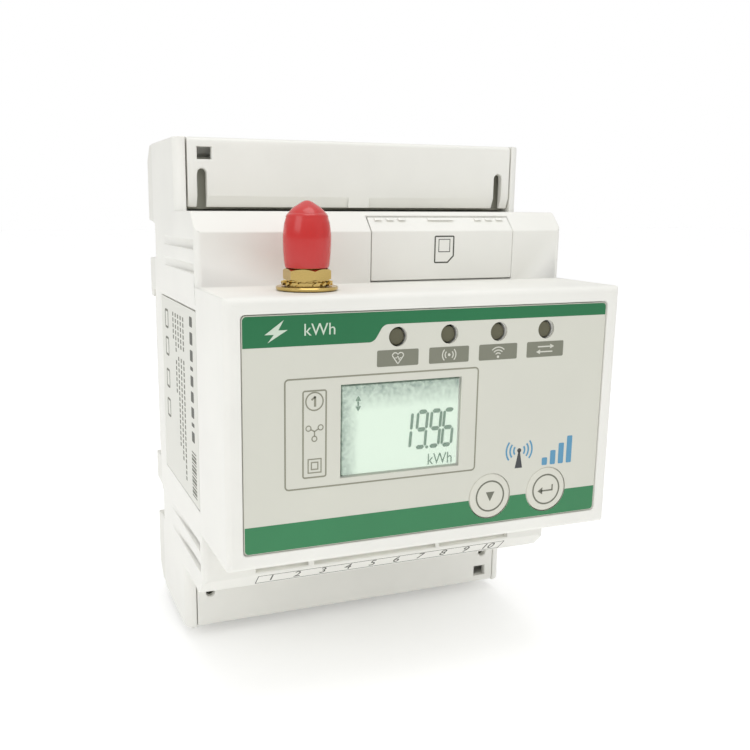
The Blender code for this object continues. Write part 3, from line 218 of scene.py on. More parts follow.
def piece(name, form, finish, slot, body, *stands_for):
    """Finish a shape as an object that rides on its body."""
    mesh = bpy.data.meshes.new(name)
    form.to_mesh(mesh)
    form.free()
    mesh.materials.append(finish)
    thing = link(bpy.data.objects.new(name, mesh))
    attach(thing, body)
    if stands_for:
        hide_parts(*stands_for)
    return thing


def softened(name, node, finish, slot, body, edge, segments=2, grow=(1.0, 1.0)):
    """The frame's own piece, cleaned of needless facets, with its outer edges rounded.

    Each outer edge is rounded as far as its narrowest face and its shortest neighbour leave room.
    """
    form = bmesh.new()
    form.from_mesh(frame["nodes"][node].data)
    bmesh.ops.remove_doubles(form, verts=form.verts, dist=0.000002)
    bmesh.ops.dissolve_limit(form, angle_limit=math.radians(1), verts=form.verts, edges=form.edges)
    low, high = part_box(node)
    centre = Matrix.Translation((low + high) / 2)
    bmesh.ops.scale(form, vec=(grow[0], 1.0, grow[1]), space=centre.inverted(), verts=form.verts)
    form.normal_update()
    share = form.edges.layers.float.new("bevel_weight_edge")
    for item in form.edges:
        if item.is_convex and item.calc_face_angle() > math.radians(30):
            near_by = [other for vert in item.verts for other in vert.link_edges]
            room = min(other.calc_length() for other in near_by) * 0.6
            for face in item.link_faces:
                longest = max(other.calc_length() for other in face.edges)
                room = min(room, 0.45 * face.calc_area() / longest)
            item[share] = min(1.0, room / (edge * MM))
    wide = [face for face in form.faces if len(face.verts) > 4]
    bmesh.ops.triangulate(form, faces=wide, ngon_method="BEAUTY")
    thing = piece(name, form, finish, slot, body, node)
    thing.data.shade_smooth()
    thing.data.set_sharp_from_angle(angle=math.radians(30))
    round_off = thing.modifiers.new("round", "BEVEL")
    round_off.width = edge * MM
    round_off.segments = segments
    round_off.limit_method = "WEIGHT"
    round_off.use_clamp_overlap = False
    round_off.miter_outer = "MITER_ARC"
    even = thing.modifiers.new("even", "WEIGHTED_NORMAL")
    even.keep_sharp = True
    return thing


housing_plastic = grained("housing_plastic", HOUSING_WHITE, 0.42, FINE_GRAIN, SKIN_GRAIN)
softened("housing_shell", "main_housing", housing_plastic, "housing_plastic", "meter", HOUSING_EDGE)


# The rear base closes the housing from behind. It is a separate moulding in a slightly greyer
# plastic, with the rail recess between two fixed hooks and the sprung clip.
BASE_GREY = (0.80, 0.795, 0.74)
BASE_EDGE = 0.2

base_plastic = grained("base_plastic", BASE_GREY, 0.46, FINE_GRAIN, SKIN_GRAIN)
softened("base_shell", "rear_base", base_plastic, "base_plastic", "meter", BASE_EDGE)


# The two terminal covers and the card door are the same plastic as the housing. Each cover turns
# on moulded pins; the door snaps in and is pulled off forwards.
COVER_EDGE = 0.18

softened("upper_cover", "top_terminal_cover", housing_plastic, "housing_plastic", "top_cover", COVER_EDGE)
softened("lower_cover", "bottom_terminal_cover", housing_plastic, "housing_plastic", "bottom_cover",
         COVER_EDGE, grow=(1.004, 1.0))
softened("card_door_shell", "sim_cover", housing_plastic, "housing_plastic", "card_door", 0.12,
         grow=(1.012, 1.008))


# The front film is a printed polycarbonate sheet in a shallow recess, with holes for the window,
# the lamps and the keys. Its inks are thin layers laid on it: two green bands and grey lines.
FILM_GREY = (0.665, 0.665, 0.585)
GREEN_DEEP = (0.004, 0.155, 0.05)
GREEN_LOW = (0.028, 0.21, 0.078)
LINE_INK = (0.27, 0.27, 0.205)
BOX_INK = (0.20, 0.205, 0.155)
INK = 0.03
BAND_LOW = 14.15
BAND_HIGH = 16.95
BAND_TURN = (-11.4, -9.7)
LOWER_BAND_TOP = -14.55
KEY_CENTRES = (11.2, 22.7)
KEY_LEVEL = -14.1
KEY_CLEARANCE = 4.15
CUT_OUT_STEPS = 32
LINE = 0.26
FRAME_BOX = (-26.5, 8.05, -9.15, 9.05)
SYMBOL_BOX = (-23.5, -19.35, -7.4, 7.05)
LAMP_X = (-7.1, 2.25, 11.6, 20.95)
LAMP_BOX_LEVEL = 11.4
LAMP_BOX = (7.4, 2.7)

film_low, film_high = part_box("front_overlay")
film_front = film_low.y / MM - DEPTH_ZERO
film_left, film_right = film_low.x / MM, film_high.x / MM
film_bottom, film_top = film_low.z / MM, film_high.z / MM
FILM_CORNER = 0.65


def add_patch(form, points, radii=0.0, steps=5):
    """A flat patch from a few corners, with those that have a radius rounded."""
    if not isinstance(radii, (list, tuple)):
        radii = [radii] * len(points)
    corners = [form.verts.new((x * MM, y * MM, 0)) for x, y in points]
    form.faces.new(corners)
    for corner, radius in zip(corners, radii):
        if radius > 0:
            bmesh.ops.bevel(form, geom=[corner], offset=radius * MM, offset_type="OFFSET", segments=steps,
                            profile=0.5, affect="VERTICES", material=-1)


def corners_of(left, right, bottom, top):
    return [(left, bottom), (right, bottom), (right, top), (left, top)]


def add_rim(form, points, line, radii=0.0):
    """A closed line along an outline: the rim that an inset leaves."""
    rim = bmesh.new()
    add_patch(rim, points, radii)
    rim.normal_update()
    kept = bmesh.ops.inset_region(rim, faces=rim.faces[:], thickness=line * MM, use_boundary=True,
                                  use_even_offset=True)
    inside = [face for face in rim.faces if face not in kept["faces"]]
    bmesh.ops.delete(rim, geom=inside, context="FACES")
    take_in(form, rim)


def add_frame(form, box, line, radius=0.0):
    add_rim(form, corners_of(*box), line, radius)


def take_in(form, other):
    mesh = bpy.data.meshes.new("part")
    other.to_mesh(mesh)
    other.free()
    form.from_mesh(mesh)
    bpy.data.meshes.remove(mesh)


def add_arc(form, x, y, radius, line, start=0.0, sweep=360.0, steps=40):
    """A curved line about a centre, or a whole ring."""
    ends = []
    for reach in (radius - line / 2, radius + line / 2):
        out = Vector((math.cos(math.radians(start)), math.sin(math.radians(start)), 0)) * reach
        ends.append(form.verts.new((Vector((x, y, 0)) + out) * MM))
    edge = form.edges.new(ends)
    bmesh.ops.spin(form, geom=ends + [edge], cent=Vector((x, y, 0)) * MM, axis=(0, 0, 1),
                   angle=math.radians(sweep), steps=steps, use_merge=sweep == 360.0)


def add_disc(form, x, y, radius, steps=28):
    bmesh.ops.create_circle(form, cap_ends=True, segments=steps, radius=radius * MM,
                            matrix=Matrix.Translation(Vector((x, y, 0)) * MM))


def add_bar(form, start, end, line):
    """A straight line of one width between two points."""
    first, last = Vector(start), Vector(end)
    aside = (last - first).orthogonal().normalized() * line / 2
    add_patch(form, [first + aside, first - aside, last - aside, last + aside])


def add_words(form, words, size, x, y, stretch=1.0):
    """Plain characters, made a mesh and then moved to their place."""
    curve = bpy.data.curves.new("words", "FONT")
    curve.body = words
    curve.size = size * MM
    curve.align_x = "CENTER"
    curve.align_y = "CENTER"
    holder = link(bpy.data.objects.new("words", curve))
    bpy.context.view_layer.update()
    mesh = bpy.data.meshes.new_from_object(holder.evaluated_get(bpy.context.evaluated_depsgraph_get()))
    mesh.transform(Matrix.Translation(Vector((x, y, 0)) * MM) @ Matrix.Diagonal((1.0, stretch, 1.0, 1.0)))
    form.from_mesh(mesh)
    bpy.data.objects.remove(holder)
    bpy.data.meshes.remove(mesh)


def on_front(depth):
    """Lays a drawing on a face that looks forwards."""
    return Matrix.Translation(spot(0, depth, 0)) @ turned(90, "X")


def inked(name, form, finish, slot, body, lay, thickness=INK):
    """Give a drawing its thickness and lay it on its surface."""
    bmesh.ops.remove_doubles(form, verts=form.verts, dist=0.000001)
    bmesh.ops.recalc_face_normals(form, faces=form.faces)
    flipped = [face for face in form.faces if face.normal.z > 0]
    bmesh.ops.reverse_faces(form, faces=flipped)
    grown = bmesh.ops.extrude_face_region(form, geom=form.faces[:])
    raised = [item for item in grown["geom"] if isinstance(item, bmesh.types.BMVert)]
    bmesh.ops.translate(form, verts=raised, vec=(0, 0, thickness * MM))
    bmesh.ops.recalc_face_normals(form, faces=form.faces)
    bmesh.ops.transform(form, matrix=lay, verts=form.verts)
    return piece(name, form, finish, slot, body)


film = grained("printed_film", FILM_GREY, 0.44, 3800.0, 0.006, 0.012)
green_ink = grained("green_ink", GREEN_DEEP, 0.40, 3800.0, 0.006, 0.05)
green_low_ink = grained("green_low_ink", GREEN_LOW, 0.42, 3800.0, 0.006, 0.05)
line_ink = grained("line_ink", LINE_INK, 0.5, 3800.0, 0.006, 0.06)
box_ink = grained("box_ink", BOX_INK, 0.5, 3800.0, 0.006, 0.05)
softened("front_film", "front_overlay", film, "printed_film", "meter", 0.05, grow=(1.0035, 1.006))

first_layer = on_front(film_front + 0.01)
second_layer = on_front(film_front + 0.01 - INK)

form = bmesh.new()
turn_low, turn_high = BAND_TURN
add_patch(form, [(film_left, BAND_LOW), (turn_low, BAND_LOW), (turn_high, BAND_HIGH),
                 (film_right, BAND_HIGH), (film_right, film_top), (film_left, film_top)],
          [0, 0.8, 0.8, 0, FILM_CORNER, FILM_CORNER])
inked("upper_green_band", form, green_ink, "printed_film", "meter", first_layer)

form = bmesh.new()
half_chord = math.sqrt(KEY_CLEARANCE ** 2 - (KEY_LEVEL - LOWER_BAND_TOP) ** 2)
dip = math.atan2(KEY_LEVEL - LOWER_BAND_TOP, half_chord)
outline = [(film_left, film_bottom), (film_right, film_bottom), (film_right, LOWER_BAND_TOP)]
for centre in reversed(KEY_CENTRES):
    for step in range(CUT_OUT_STEPS + 1):
        angle = -dip - (math.pi - 2 * dip) * step / CUT_OUT_STEPS
        outline.append((centre + KEY_CLEARANCE * math.cos(angle),
                        KEY_LEVEL + KEY_CLEARANCE * math.sin(angle)))
outline.append((film_left, LOWER_BAND_TOP))
add_patch(form, outline, [FILM_CORNER, FILM_CORNER] + [0] * (len(outline) - 2))
inked("lower_green_band", form, green_low_ink, "printed_film", "meter", first_layer)

form = bmesh.new()
add_frame(form, FRAME_BOX, LINE, 0.75)
add_frame(form, SYMBOL_BOX, LINE, 0.45)
add_arc(form, -21.45, 5.2, 1.45, 0.22)
add_bar(form, (-21.35, 4.35), (-21.35, 6.05), 0.36)
add_bar(form, (-21.3, 5.95), (-21.95, 5.45), 0.3)
for x, y in ((-22.45, 0.85), (-20.4, 0.9), (-21.45, -0.9)):
    add_arc(form, x, y, 0.42, 0.18, steps=24)
    reach = Vector((x + 21.43, y - 0.3)).normalized() * 0.42
    add_bar(form, (x - reach.x, y - reach.y), (-21.43, 0.3), 0.2)
add_frame(form, (-22.6, -20.2, -6.6, -4.15), 0.2)
add_frame(form, (-22.05, -20.75, -6.05, -4.7), 0.2)
inked("panel_lines", form, line_ink, "printed_film", "meter", first_layer)


# Four small grey boxes stand under the lamps. Each carries a plain sign in the film's own tone:
# a beating heart, a transmitter, a wireless fan and a pair of data arrows.
form = bmesh.new()
for x in LAMP_X:
    wide, tall = LAMP_BOX
    add_patch(form, corners_of(x - wide / 2, x + wide / 2, LAMP_BOX_LEVEL - tall / 2,
                               LAMP_BOX_LEVEL + tall / 2), 0.25)
inked("lamp_boxes", form, box_ink, "printed_film", "meter", first_layer)

form = bmesh.new()
x = LAMP_X[0]
for side in (-1, 1):
    add_arc(form, x + side * 0.5, LAMP_BOX_LEVEL + 0.35, 0.5, 0.17, 0 if side < 0 else 180,
            180 if side < 0 else -180, 14)
    add_bar(form, (x + side * 1.0, LAMP_BOX_LEVEL + 0.35), (x, LAMP_BOX_LEVEL - 1.0), 0.17)
beat = [(-0.6, 0.0), (-0.2, 0.0), (0.0, 0.4), (0.2, -0.4), (0.35, 0.0), (0.6, 0.0)]
for first, last in zip(beat, beat[1:]):
    add_bar(form, (x + first[0], LAMP_BOX_LEVEL + first[1]), (x + last[0], LAMP_BOX_LEVEL + last[1]), 0.13)
x = LAMP_X[1]
add_disc(form, x, LAMP_BOX_LEVEL, 0.24)
for reach in (0.75, 1.25):
    add_arc(form, x, LAMP_BOX_LEVEL, reach, 0.18, -45, 90, 14)
    add_arc(form, x, LAMP_BOX_LEVEL, reach, 0.18, 135, 90, 14)
x = LAMP_X[2]
add_disc(form, x, LAMP_BOX_LEVEL - 0.85, 0.22)
for reach in (0.65, 1.15, 1.65):
    add_arc(form, x, LAMP_BOX_LEVEL - 0.85, reach, 0.18, 45, 90, 14)
x = LAMP_X[3]
for side in (-1, 1):
    level = LAMP_BOX_LEVEL + side * 0.45
    add_bar(form, (x - side * 1.5, level), (x + side * 1.1, level), 0.22)
    add_patch(form, [(x + side * 1.0, level - 0.4), (x + side * 1.8, level), (x + side * 1.0, level + 0.4)])
inked("lamp_signs", form, film, "printed_film", "meter", second_layer)


# In the band's thick end stand a plain bolt and the unit. A plain mast with waves and rising bars
# shows that the meter reports by radio.
BLUE_INK = (0.10, 0.30, 0.47)
MAST_INK = (0.05, 0.055, 0.06)
PALE_INK = (0.60, 0.70, 0.58)

form = bmesh.new()
add_patch(form, [(-29.6, 16.1), (-28.1, 16.1), (-29.1, 14.85), (-25.9, 16.75), (-27.4, 16.75),
                 (-26.5, 18.3)])
add_words(form, "kWh", 2.7, -20.6, 16.55)
inked("band_signs", form, grained("pale_ink", PALE_INK, 0.45, 3800.0, 0.006), "printed_film", "meter",
      second_layer)

form = bmesh.new()
add_patch(form, [(16.05, -9.6), (17.55, -9.6), (16.95, -6.6), (16.65, -6.6)])
add_disc(form, 16.8, -6.4, 0.4)
inked("mast_sign", form, grained("mast_ink", MAST_INK, 0.5, 3800.0, 0.006), "printed_film", "meter",
      first_layer)

form = bmesh.new()
for reach in (1.1, 1.85, 2.6):
    add_arc(form, 16.8, -6.4, reach, 0.32, -38, 76, 18)
    add_arc(form, 16.8, -6.4, reach, 0.32, 142, 76, 18)
for number in range(4):
    left = 21.6 + 1.7 * number
    add_patch(form, corners_of(left, left + 1.1, -9.6, -8.2 + 1.2 * number), 0.2)
inked("wave_sign", form, grained("blue_ink", BLUE_INK, 0.45, 3800.0, 0.006), "printed_film", "meter",
      first_layer)


# The display is a glass cell behind a clear acrylic window, lit from behind in pale green. The
# figures are its dark segments. A mottled painted shadow darkens its upper and left edges.
CELL_LIGHT = (0.62, 0.735, 0.62)
# Painted shadow colour for the cell's upper and left edges, where the window's recess shades it.
CELL_PAINTED_SHADOW = (0.10, 0.17, 0.13)
SEGMENT_INK = (0.085, 0.20, 0.115)
DIGIT = (1.75, 6.05)
STROKE = (0.5, 0.72)
DIGIT_LEAN = 0.07
SEGMENTS = {"1": "bc", "9": "abcdfg", "6": "acdefg"}
READING = (("1", -6.15), ("9", -3.35), ("9", -0.8), ("6", 1.6))
READING_FOOT = -4.1
CELL_GAP = 0.1
PANE = 0.3

cell_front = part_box("display_glass")[0].y / MM - DEPTH_ZERO


def cell_paint():
    """Pale glowing green, with a mottled painted shadow darkening the upper and left edges."""
    made = paint("display_light", CELL_LIGHT, 0.35)
    tree = made.node_tree
    shader = tree.nodes["Principled BSDF"]
    shader.inputs["Emission Strength"].default_value = 0.28
    place = tree.nodes.new("ShaderNodeTexCoord").outputs["Object"]
    parts = tree.nodes.new("ShaderNodeSeparateXYZ")
    tree.links.new(place, parts.inputs["Vector"])
    cloud = tree.nodes.new("ShaderNodeTexNoise")
    cloud.inputs["Scale"].default_value = 1500.0
    cloud.inputs["Detail"].default_value = 6.0
    tree.links.new(place, cloud.inputs["Vector"])
    # Painted shadow: the cell darkens towards its upper and left edges, mottled by the cloud noise.
    upper = tree.nodes.new("ShaderNodeMapRange")
    upper.inputs["From Min"].default_value = 2.4 * MM
    upper.inputs["From Max"].default_value = 7.6 * MM
    upper.inputs["To Max"].default_value = 1.0
    tree.links.new(parts.outputs["Z"], upper.inputs["Value"])
    left = tree.nodes.new("ShaderNodeMapRange")
    left.inputs["From Min"].default_value = -13.2 * MM
    left.inputs["From Max"].default_value = -17.2 * MM
    left.inputs["To Max"].default_value = 1.0
    tree.links.new(parts.outputs["X"], left.inputs["Value"])
    edge = tree.nodes.new("ShaderNodeMath")
    edge.operation = "MAXIMUM"
    tree.links.new(upper.outputs["Result"], edge.inputs[0])
    tree.links.new(left.outputs["Result"], edge.inputs[1])
    edge_shadow_mottle = tree.nodes.new("ShaderNodeMath")
    edge_shadow_mottle.operation = "MULTIPLY"
    tree.links.new(edge.outputs["Value"], edge_shadow_mottle.inputs[0])
    tree.links.new(cloud.outputs["Fac"], edge_shadow_mottle.inputs[1])
    tone = tree.nodes.new("ShaderNodeValToRGB")
    tone.color_ramp.elements[0].position = 0.04
    tone.color_ramp.elements[1].position = 0.62
    tone.color_ramp.elements[0].color = (*CELL_LIGHT, 1.0)
    tone.color_ramp.elements[1].color = (*CELL_PAINTED_SHADOW, 1.0)
    tree.links.new(edge_shadow_mottle.outputs["Value"], tone.inputs["Fac"])
    tree.links.new(tone.outputs["Color"], shader.inputs["Base Color"])
    tree.links.new(tone.outputs["Color"], shader.inputs["Emission Color"])
    return made


def add_segments(form, figure, x, foot):
    """One seven-segment figure: slim bars with pointed ends, leaning a little to the right."""
    wide, tall = DIGIT
    lines = {"a": ((0, tall), (wide, tall)), "b": ((wide, tall / 2), (wide, tall)),
             "c": ((wide, 0), (wide, tall / 2)), "d": ((0, 0), (wide, 0)),
             "e": ((0, 0), (0, tall / 2)), "f": ((0, tall / 2), (0, tall)),
             "g": ((0, tall / 2), (wide, tall / 2))}
    for letter in SEGMENTS[figure]:
        (ax, ay), (bx, by) = lines[letter]
        along = (Vector((bx, by)) - Vector((ax, ay))).normalized()
        line = STROKE[0] if along.y else STROKE[1]
        aside = Vector((-along.y, along.x)) * line / 2
        near, far = Vector((ax, ay)) + along * 0.09, Vector((bx, by)) - along * 0.09
        inner, outer = near + along * line * 0.45, far - along * line * 0.45
        points = [near, inner - aside, outer - aside, far, outer + aside, inner + aside]
        add_patch(form, [(x + p.x + p.y * DIGIT_LEAN, foot + p.y) for p in points])


pane_low, pane_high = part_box("display_window")
pane_front = pane_low.y / MM - DEPTH_ZERO
pane_corners = corners_of(pane_low.x / MM, pane_high.x / MM, pane_low.z / MM, pane_high.z / MM)
face_front = pane_front + PANE + CELL_GAP

form = bmesh.new()
add_patch(form, pane_corners, 0.2)
inked("display_face", form, cell_paint(), "display_cell", "meter", on_front(cell_front - CELL_GAP),
      cell_front - CELL_GAP - face_front)

form = bmesh.new()
for figure, x in READING:
    add_segments(form, figure, x, READING_FOOT)
add_disc(form, -1.2, READING_FOOT - 0.1, 0.27)
add_words(form, "kWh", 2.4, 1.35, -6.5, 1.15)
for side in (-1, 1):
    add_patch(form, [(-14.3, 4.2 + side * 0.45), (-13.3, 4.2 + side * 0.45), (-13.8, 4.2 + side * 1.3)])
add_bar(form, (-13.8, 3.8), (-13.8, 4.6), 0.3)
segment_ink = grained("segment_ink", SEGMENT_INK, 0.3, 3800.0, 0.002)
inked("display_figures", form, segment_ink, "display_cell", "meter", on_front(face_front - 0.01), INK)

window_glass = grained("window_acrylic", (0.9, 0.95, 0.9), 0.08, 900.0, 0.0008, 0.01)
window_glass.node_tree.nodes["Principled BSDF"].inputs["Alpha"].default_value = 0.1
form = bmesh.new()
add_patch(form, pane_corners, 0.2)
pane = inked("window_pane", form, window_glass, "window_acrylic", "meter", on_front(pane_front + PANE), PANE)
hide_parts("display_window")


# Each lamp is a dark olive moulded light pipe, seen unlit. It stands in the front of the housing
# and ends a little behind its hole in the film.
LENS_OLIVE = (0.115, 0.11, 0.06)
lens_plastic = grained("lamp_lens", LENS_OLIVE, 0.3, 2500.0, 0.002, 0.1)
for number in range(1, 5):
    softened("lamp_pipe_%d" % number, "light_pipe_%d" % number, lens_plastic, "lamp_lens", "meter", 0.15)


# A key is an embossed dome of the same film over its plunger. The hairline round it is the edge of
# the dome; a dark ring and a sign are printed on its flat top.
KEY_RING = 2.7
KEY_RING_LINE = 0.28
KEY_HEAD = 3.99
KEY_COLLAR = 4.5
KEY_STEM = 1.5
COLLAR_DEPTH = (2.35, 3.1)
DOME = [(0.0, 0.04), (3.05, 0.04), (3.35, 0.055), (3.6, 0.1), (3.8, 0.15), (3.93, 0.21), (KEY_HEAD, 0.3),
        (KEY_HEAD, COLLAR_DEPTH[0]), (KEY_COLLAR, COLLAR_DEPTH[0]), (KEY_COLLAR, COLLAR_DEPTH[1]),
        (KEY_STEM, COLLAR_DEPTH[1])]
# The key film is painted a little lighter than the flat film: painted light on the raised domes.
key_film = grained("key_film", (0.69, 0.685, 0.6), 0.42, 3800.0, 0.006, 0.012)
key_ink = grained("key_ink", (0.16, 0.165, 0.125), 0.5, 3800.0, 0.006, 0.05)


def key_dome(name, node, body, x):
    """One spun plunger: the dome, a collar that stays behind the panel and a stem."""
    form = bmesh.new()
    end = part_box(node)[1].y / MM - DEPTH_ZERO
    outline = DOME + [(KEY_STEM, end), (0.0, end)]
    chain = [form.verts.new(spot(x + radius, depth, KEY_LEVEL)) for radius, depth in outline]
    edges = [form.edges.new(pair) for pair in zip(chain, chain[1:])]
    bmesh.ops.spin(form, geom=chain + edges, cent=spot(x, 0, KEY_LEVEL), axis=(0, 1, 0), angle=math.tau,
                   steps=72, use_merge=True)
    bmesh.ops.remove_doubles(form, verts=form.verts, dist=0.000001)
    bmesh.ops.recalc_face_normals(form, faces=form.faces)
    dome = piece(name, form, key_film, "key_film", body, node)
    dome.data.shade_smooth()
    dome.data.set_sharp_from_angle(angle=math.radians(50))
    return dome


key_lay = on_front(DOME[0][1] + 0.005)
key_dome("down_key_dome", "key_down", "down_key", KEY_CENTRES[0])
key_dome("enter_key_dome", "key_enter", "enter_key", KEY_CENTRES[1])

form = bmesh.new()
x = KEY_CENTRES[0]
add_arc(form, x, KEY_LEVEL, KEY_RING, KEY_RING_LINE, steps=64)
add_patch(form, [(x - 0.85, KEY_LEVEL + 0.75), (x, KEY_LEVEL - 0.95), (x + 0.85, KEY_LEVEL + 0.75)])
inked("down_key_sign", form, key_ink, "key_film", "down_key", key_lay)

form = bmesh.new()
x = KEY_CENTRES[1]
add_arc(form, x, KEY_LEVEL, KEY_RING, KEY_RING_LINE, steps=64)
add_bar(form, (x - 1.1, KEY_LEVEL - 0.25), (x + 1.3, KEY_LEVEL - 0.25), 0.26)
add_bar(form, (x + 1.3, KEY_LEVEL - 0.38), (x + 1.3, KEY_LEVEL + 0.8), 0.26)
add_patch(form, [(x - 0.75, KEY_LEVEL + 0.4), (x - 1.75, KEY_LEVEL - 0.25), (x - 0.75, KEY_LEVEL - 0.9)])
inked("enter_key_sign", form, key_ink, "key_film", "enter_key", key_lay)


# The lower step's slope carries the printed terminal numbers in a thin frame, and the card door a
# card with one cut corner.
STRIP_DEPTH = 20.2
STRIP_LEVEL = -32.7
STRIP_BOX = (-25.5, 26.9, -1.75, 1.75)
NUMBER_FIRST = -22.6
NUMBER_PITCH = 5.15
NUMBERS = 10
DOOR_FRONT = 18.5
CARD_SIGN = (8.5, 12.6, 25.2, 30.2)
CARD_CUT = 1.25

print_ink = grained("print_ink", (0.075, 0.078, 0.06), 0.5, 3800.0, 0.004, 0.06)
slope = Matrix.Translation(spot(0, STRIP_DEPTH, STRIP_LEVEL)) @ turned(135, "X")
form = bmesh.new()
for number in range(NUMBERS):
    add_words(form, str(number + 1), 2.9, NUMBER_FIRST + NUMBER_PITCH * number, 0, 1.25)
add_frame(form, STRIP_BOX, 0.16)
inked("terminal_numbers", form, print_ink, "housing_plastic", "meter",
      slope @ Matrix.Translation((0, 0, -0.01 * MM)))

form = bmesh.new()
left, right, bottom, top = CARD_SIGN
outline = [(left, bottom), (right - CARD_CUT, bottom), (right, bottom + CARD_CUT), (right, top), (left, top)]
add_rim(form, outline, 0.26, [0.3, 0.1, 0.1, 0.3, 0.3])
add_frame(form, (left + 0.85, right - 0.85, bottom + 2.0, top - 0.6), 0.14)
inked("card_sign", form, print_ink, "housing_plastic", "card_door", on_front(DOOR_FRONT + 0.01))


# The rating label is a thin printed sheet stuck in a shallow recess on the left wall. Its lines of
# small print are plain bars, read downwards, with a block of code bars near its lower front corner.
LABEL_FACE = -35.95
LABEL_GREY = (0.74, 0.74, 0.68)
TITLE_DEPTH = 23.6
TITLE = (1.8, 2.2, 2.0, 0.7, 1.9, 1.9, 1.9, 0.7, 1.9)
TEXT_ROWS = ((30.3, 15.5, 10.0), (30.3, 7.5, -14.5), (32.6, 15.5, 9.0), (32.6, 7.5, -12.0),
             (34.9, 15.5, 9.5), (34.9, 7.5, -9.0), (37.2, 15.5, 8.5), (37.2, 6.5, 1.0),
             (39.5, 15.5, 10.5))
CODE_BARS = 13
CODE_TOP = -8.2

label_low, label_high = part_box("rating_label")
label_stock = grained("label_stock", LABEL_GREY, 0.5, 2600.0, 0.004, 0.015)
label_ink = grained("label_ink", (0.17, 0.175, 0.14), 0.6, 2600.0, 0.004, 0.12)


def on_left(x):
    """Lays a drawing on a face that looks left; across the drawing runs forwards."""
    return Matrix.Translation(Vector((x * MM, 0, 0))) @ turned(-90, "Z") @ turned(90, "X")


def across(depth):
    return -(depth + DEPTH_ZERO)


form = bmesh.new()
add_patch(form, corners_of(-label_high.y / MM, -label_low.y / MM, label_low.z / MM, label_high.z / MM), 0.6)
sheet = inked("label_sheet", form, label_stock, "label_stock", "meter", on_left(LABEL_FACE + 0.15), 0.15)
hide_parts("rating_label")

form = bmesh.new()
level = 16.4
for length in TITLE:
    middle = across(TITLE_DEPTH)
    add_patch(form, corners_of(middle - 1.1, middle + 1.1, level - length, level), 0.3)
    level -= length + 0.95
inked("label_title", form, print_ink, "label_stock", "meter", on_left(LABEL_FACE + 0.01))

form = bmesh.new()
for depth, top, bottom in TEXT_ROWS:
    level = top
    while level > bottom:
        add_bar(form, (across(depth), level), (across(depth), level - 0.75), 0.85)
        level -= 1.1
for number in range(CODE_BARS):
    level = CODE_TOP - 0.68 * number
    add_bar(form, (across(25.2), level), (across(21.6), level), 0.22 + 0.16 * (number * 7 % 3))
for level in (13.5, 8.0, 1.5, -4.5):
    add_frame(form, (across(47.5), across(44.3), level - 1.9, level + 1.9), 0.45, 0.6)
inked("label_print", form, label_ink, "label_stock", "meter", on_left(LABEL_FACE + 0.01))


# The antenna socket is gold-plated: a threaded barrel through the block's top face, with a flat
# washer, a toothed lock washer and a chamfered hexagon nut. A red dipped cap protects the thread.
GOLD = (0.60, 0.43, 0.15)
RED = (0.56, 0.02, 0.018)
THREAD_OUTER = 3.17
THREAD_PITCH = 0.7056
THREAD_CUT = 0.3
TEETH = 16
NUT_CHAMFER = 0.55
WASHER_BORE = 3.4
CAP_BORE = 3.45
CAP_HOLLOW = 8.2

gold_plate = grained("gold_plate", GOLD, 0.2, 1500.0, 0.002, 0.06, 1.0)
red_vinyl = grained("red_vinyl", RED, 0.22, 1200.0, 0.002, 0.05, 0.0, 0.25)


def middle_of(node):
    low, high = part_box(node)
    return (low + high) / 2


def spun(form, centre, profile, steps=48):
    """Turn a chain of (radius, height) points in millimetres about a vertical axis."""
    chain = [form.verts.new(Vector((centre.x + radius * MM, centre.y, height * MM)))
             for radius, height in profile]
    edges = [form.edges.new(pair) for pair in zip(chain, chain[1:])]
    bmesh.ops.spin(form, geom=chain + edges, cent=centre, axis=(0, 0, 1), angle=math.tau, steps=steps,
                   use_merge=True)
    bmesh.ops.remove_doubles(form, verts=form.verts, dist=0.000001)
    bmesh.ops.recalc_face_normals(form, faces=form.faces)


def polished(thing, angle=35):
    thing.data.shade_smooth()
    thing.data.set_sharp_from_angle(angle=math.radians(angle))
    return thing


def ring_profile(node, bore, edge):
    """The outline of a flat ring with softened outer edges, closed on itself."""
    low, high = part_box(node)
    outer = (high.x - low.x) / 2 / MM
    bottom, top = low.z / MM, high.z / MM
    return [(bore, bottom), (outer - edge, bottom), (outer, bottom + edge), (outer, top - edge),
            (outer - edge, top), (bore, top), (bore, bottom)]


form = bmesh.new()
spun(form, middle_of("flat_washer"), ring_profile("flat_washer", WASHER_BORE, 0.15), 64)
polished(piece("washer_flat", form, gold_plate, "gold_plate", "meter", "flat_washer"))

low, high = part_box("lock_washer")
lock_outer = (high.x - low.x) / 2 / MM
lock_mid = middle_of("lock_washer")
form = bmesh.new()
spun(form, lock_mid, [(WASHER_BORE, low.z / MM + 0.2), (lock_outer - 0.45, low.z / MM + 0.2),
                      (lock_outer - 0.45, high.z / MM - 0.2), (WASHER_BORE, high.z / MM - 0.2),
                      (WASHER_BORE, low.z / MM + 0.2)], 60)
for tooth in range(TEETH):
    blade = bmesh.new()
    bmesh.ops.create_cube(blade, size=1.0)
    bmesh.ops.scale(blade, vec=Vector((0.8, 0.85, 0.3)) * MM, verts=blade.verts)
    bmesh.ops.transform(blade, verts=blade.verts, matrix=turned(28, "X"))
    bmesh.ops.translate(blade, verts=blade.verts, vec=((lock_outer - 0.5) * MM, 0, 0))
    bmesh.ops.transform(blade, verts=blade.verts,
                        matrix=Matrix.Translation(lock_mid) @ turned(360 * tooth / TEETH, "Z"))
    take_in(form, blade)
polished(piece("washer_lock", form, gold_plate, "gold_plate", "meter", "lock_washer"))

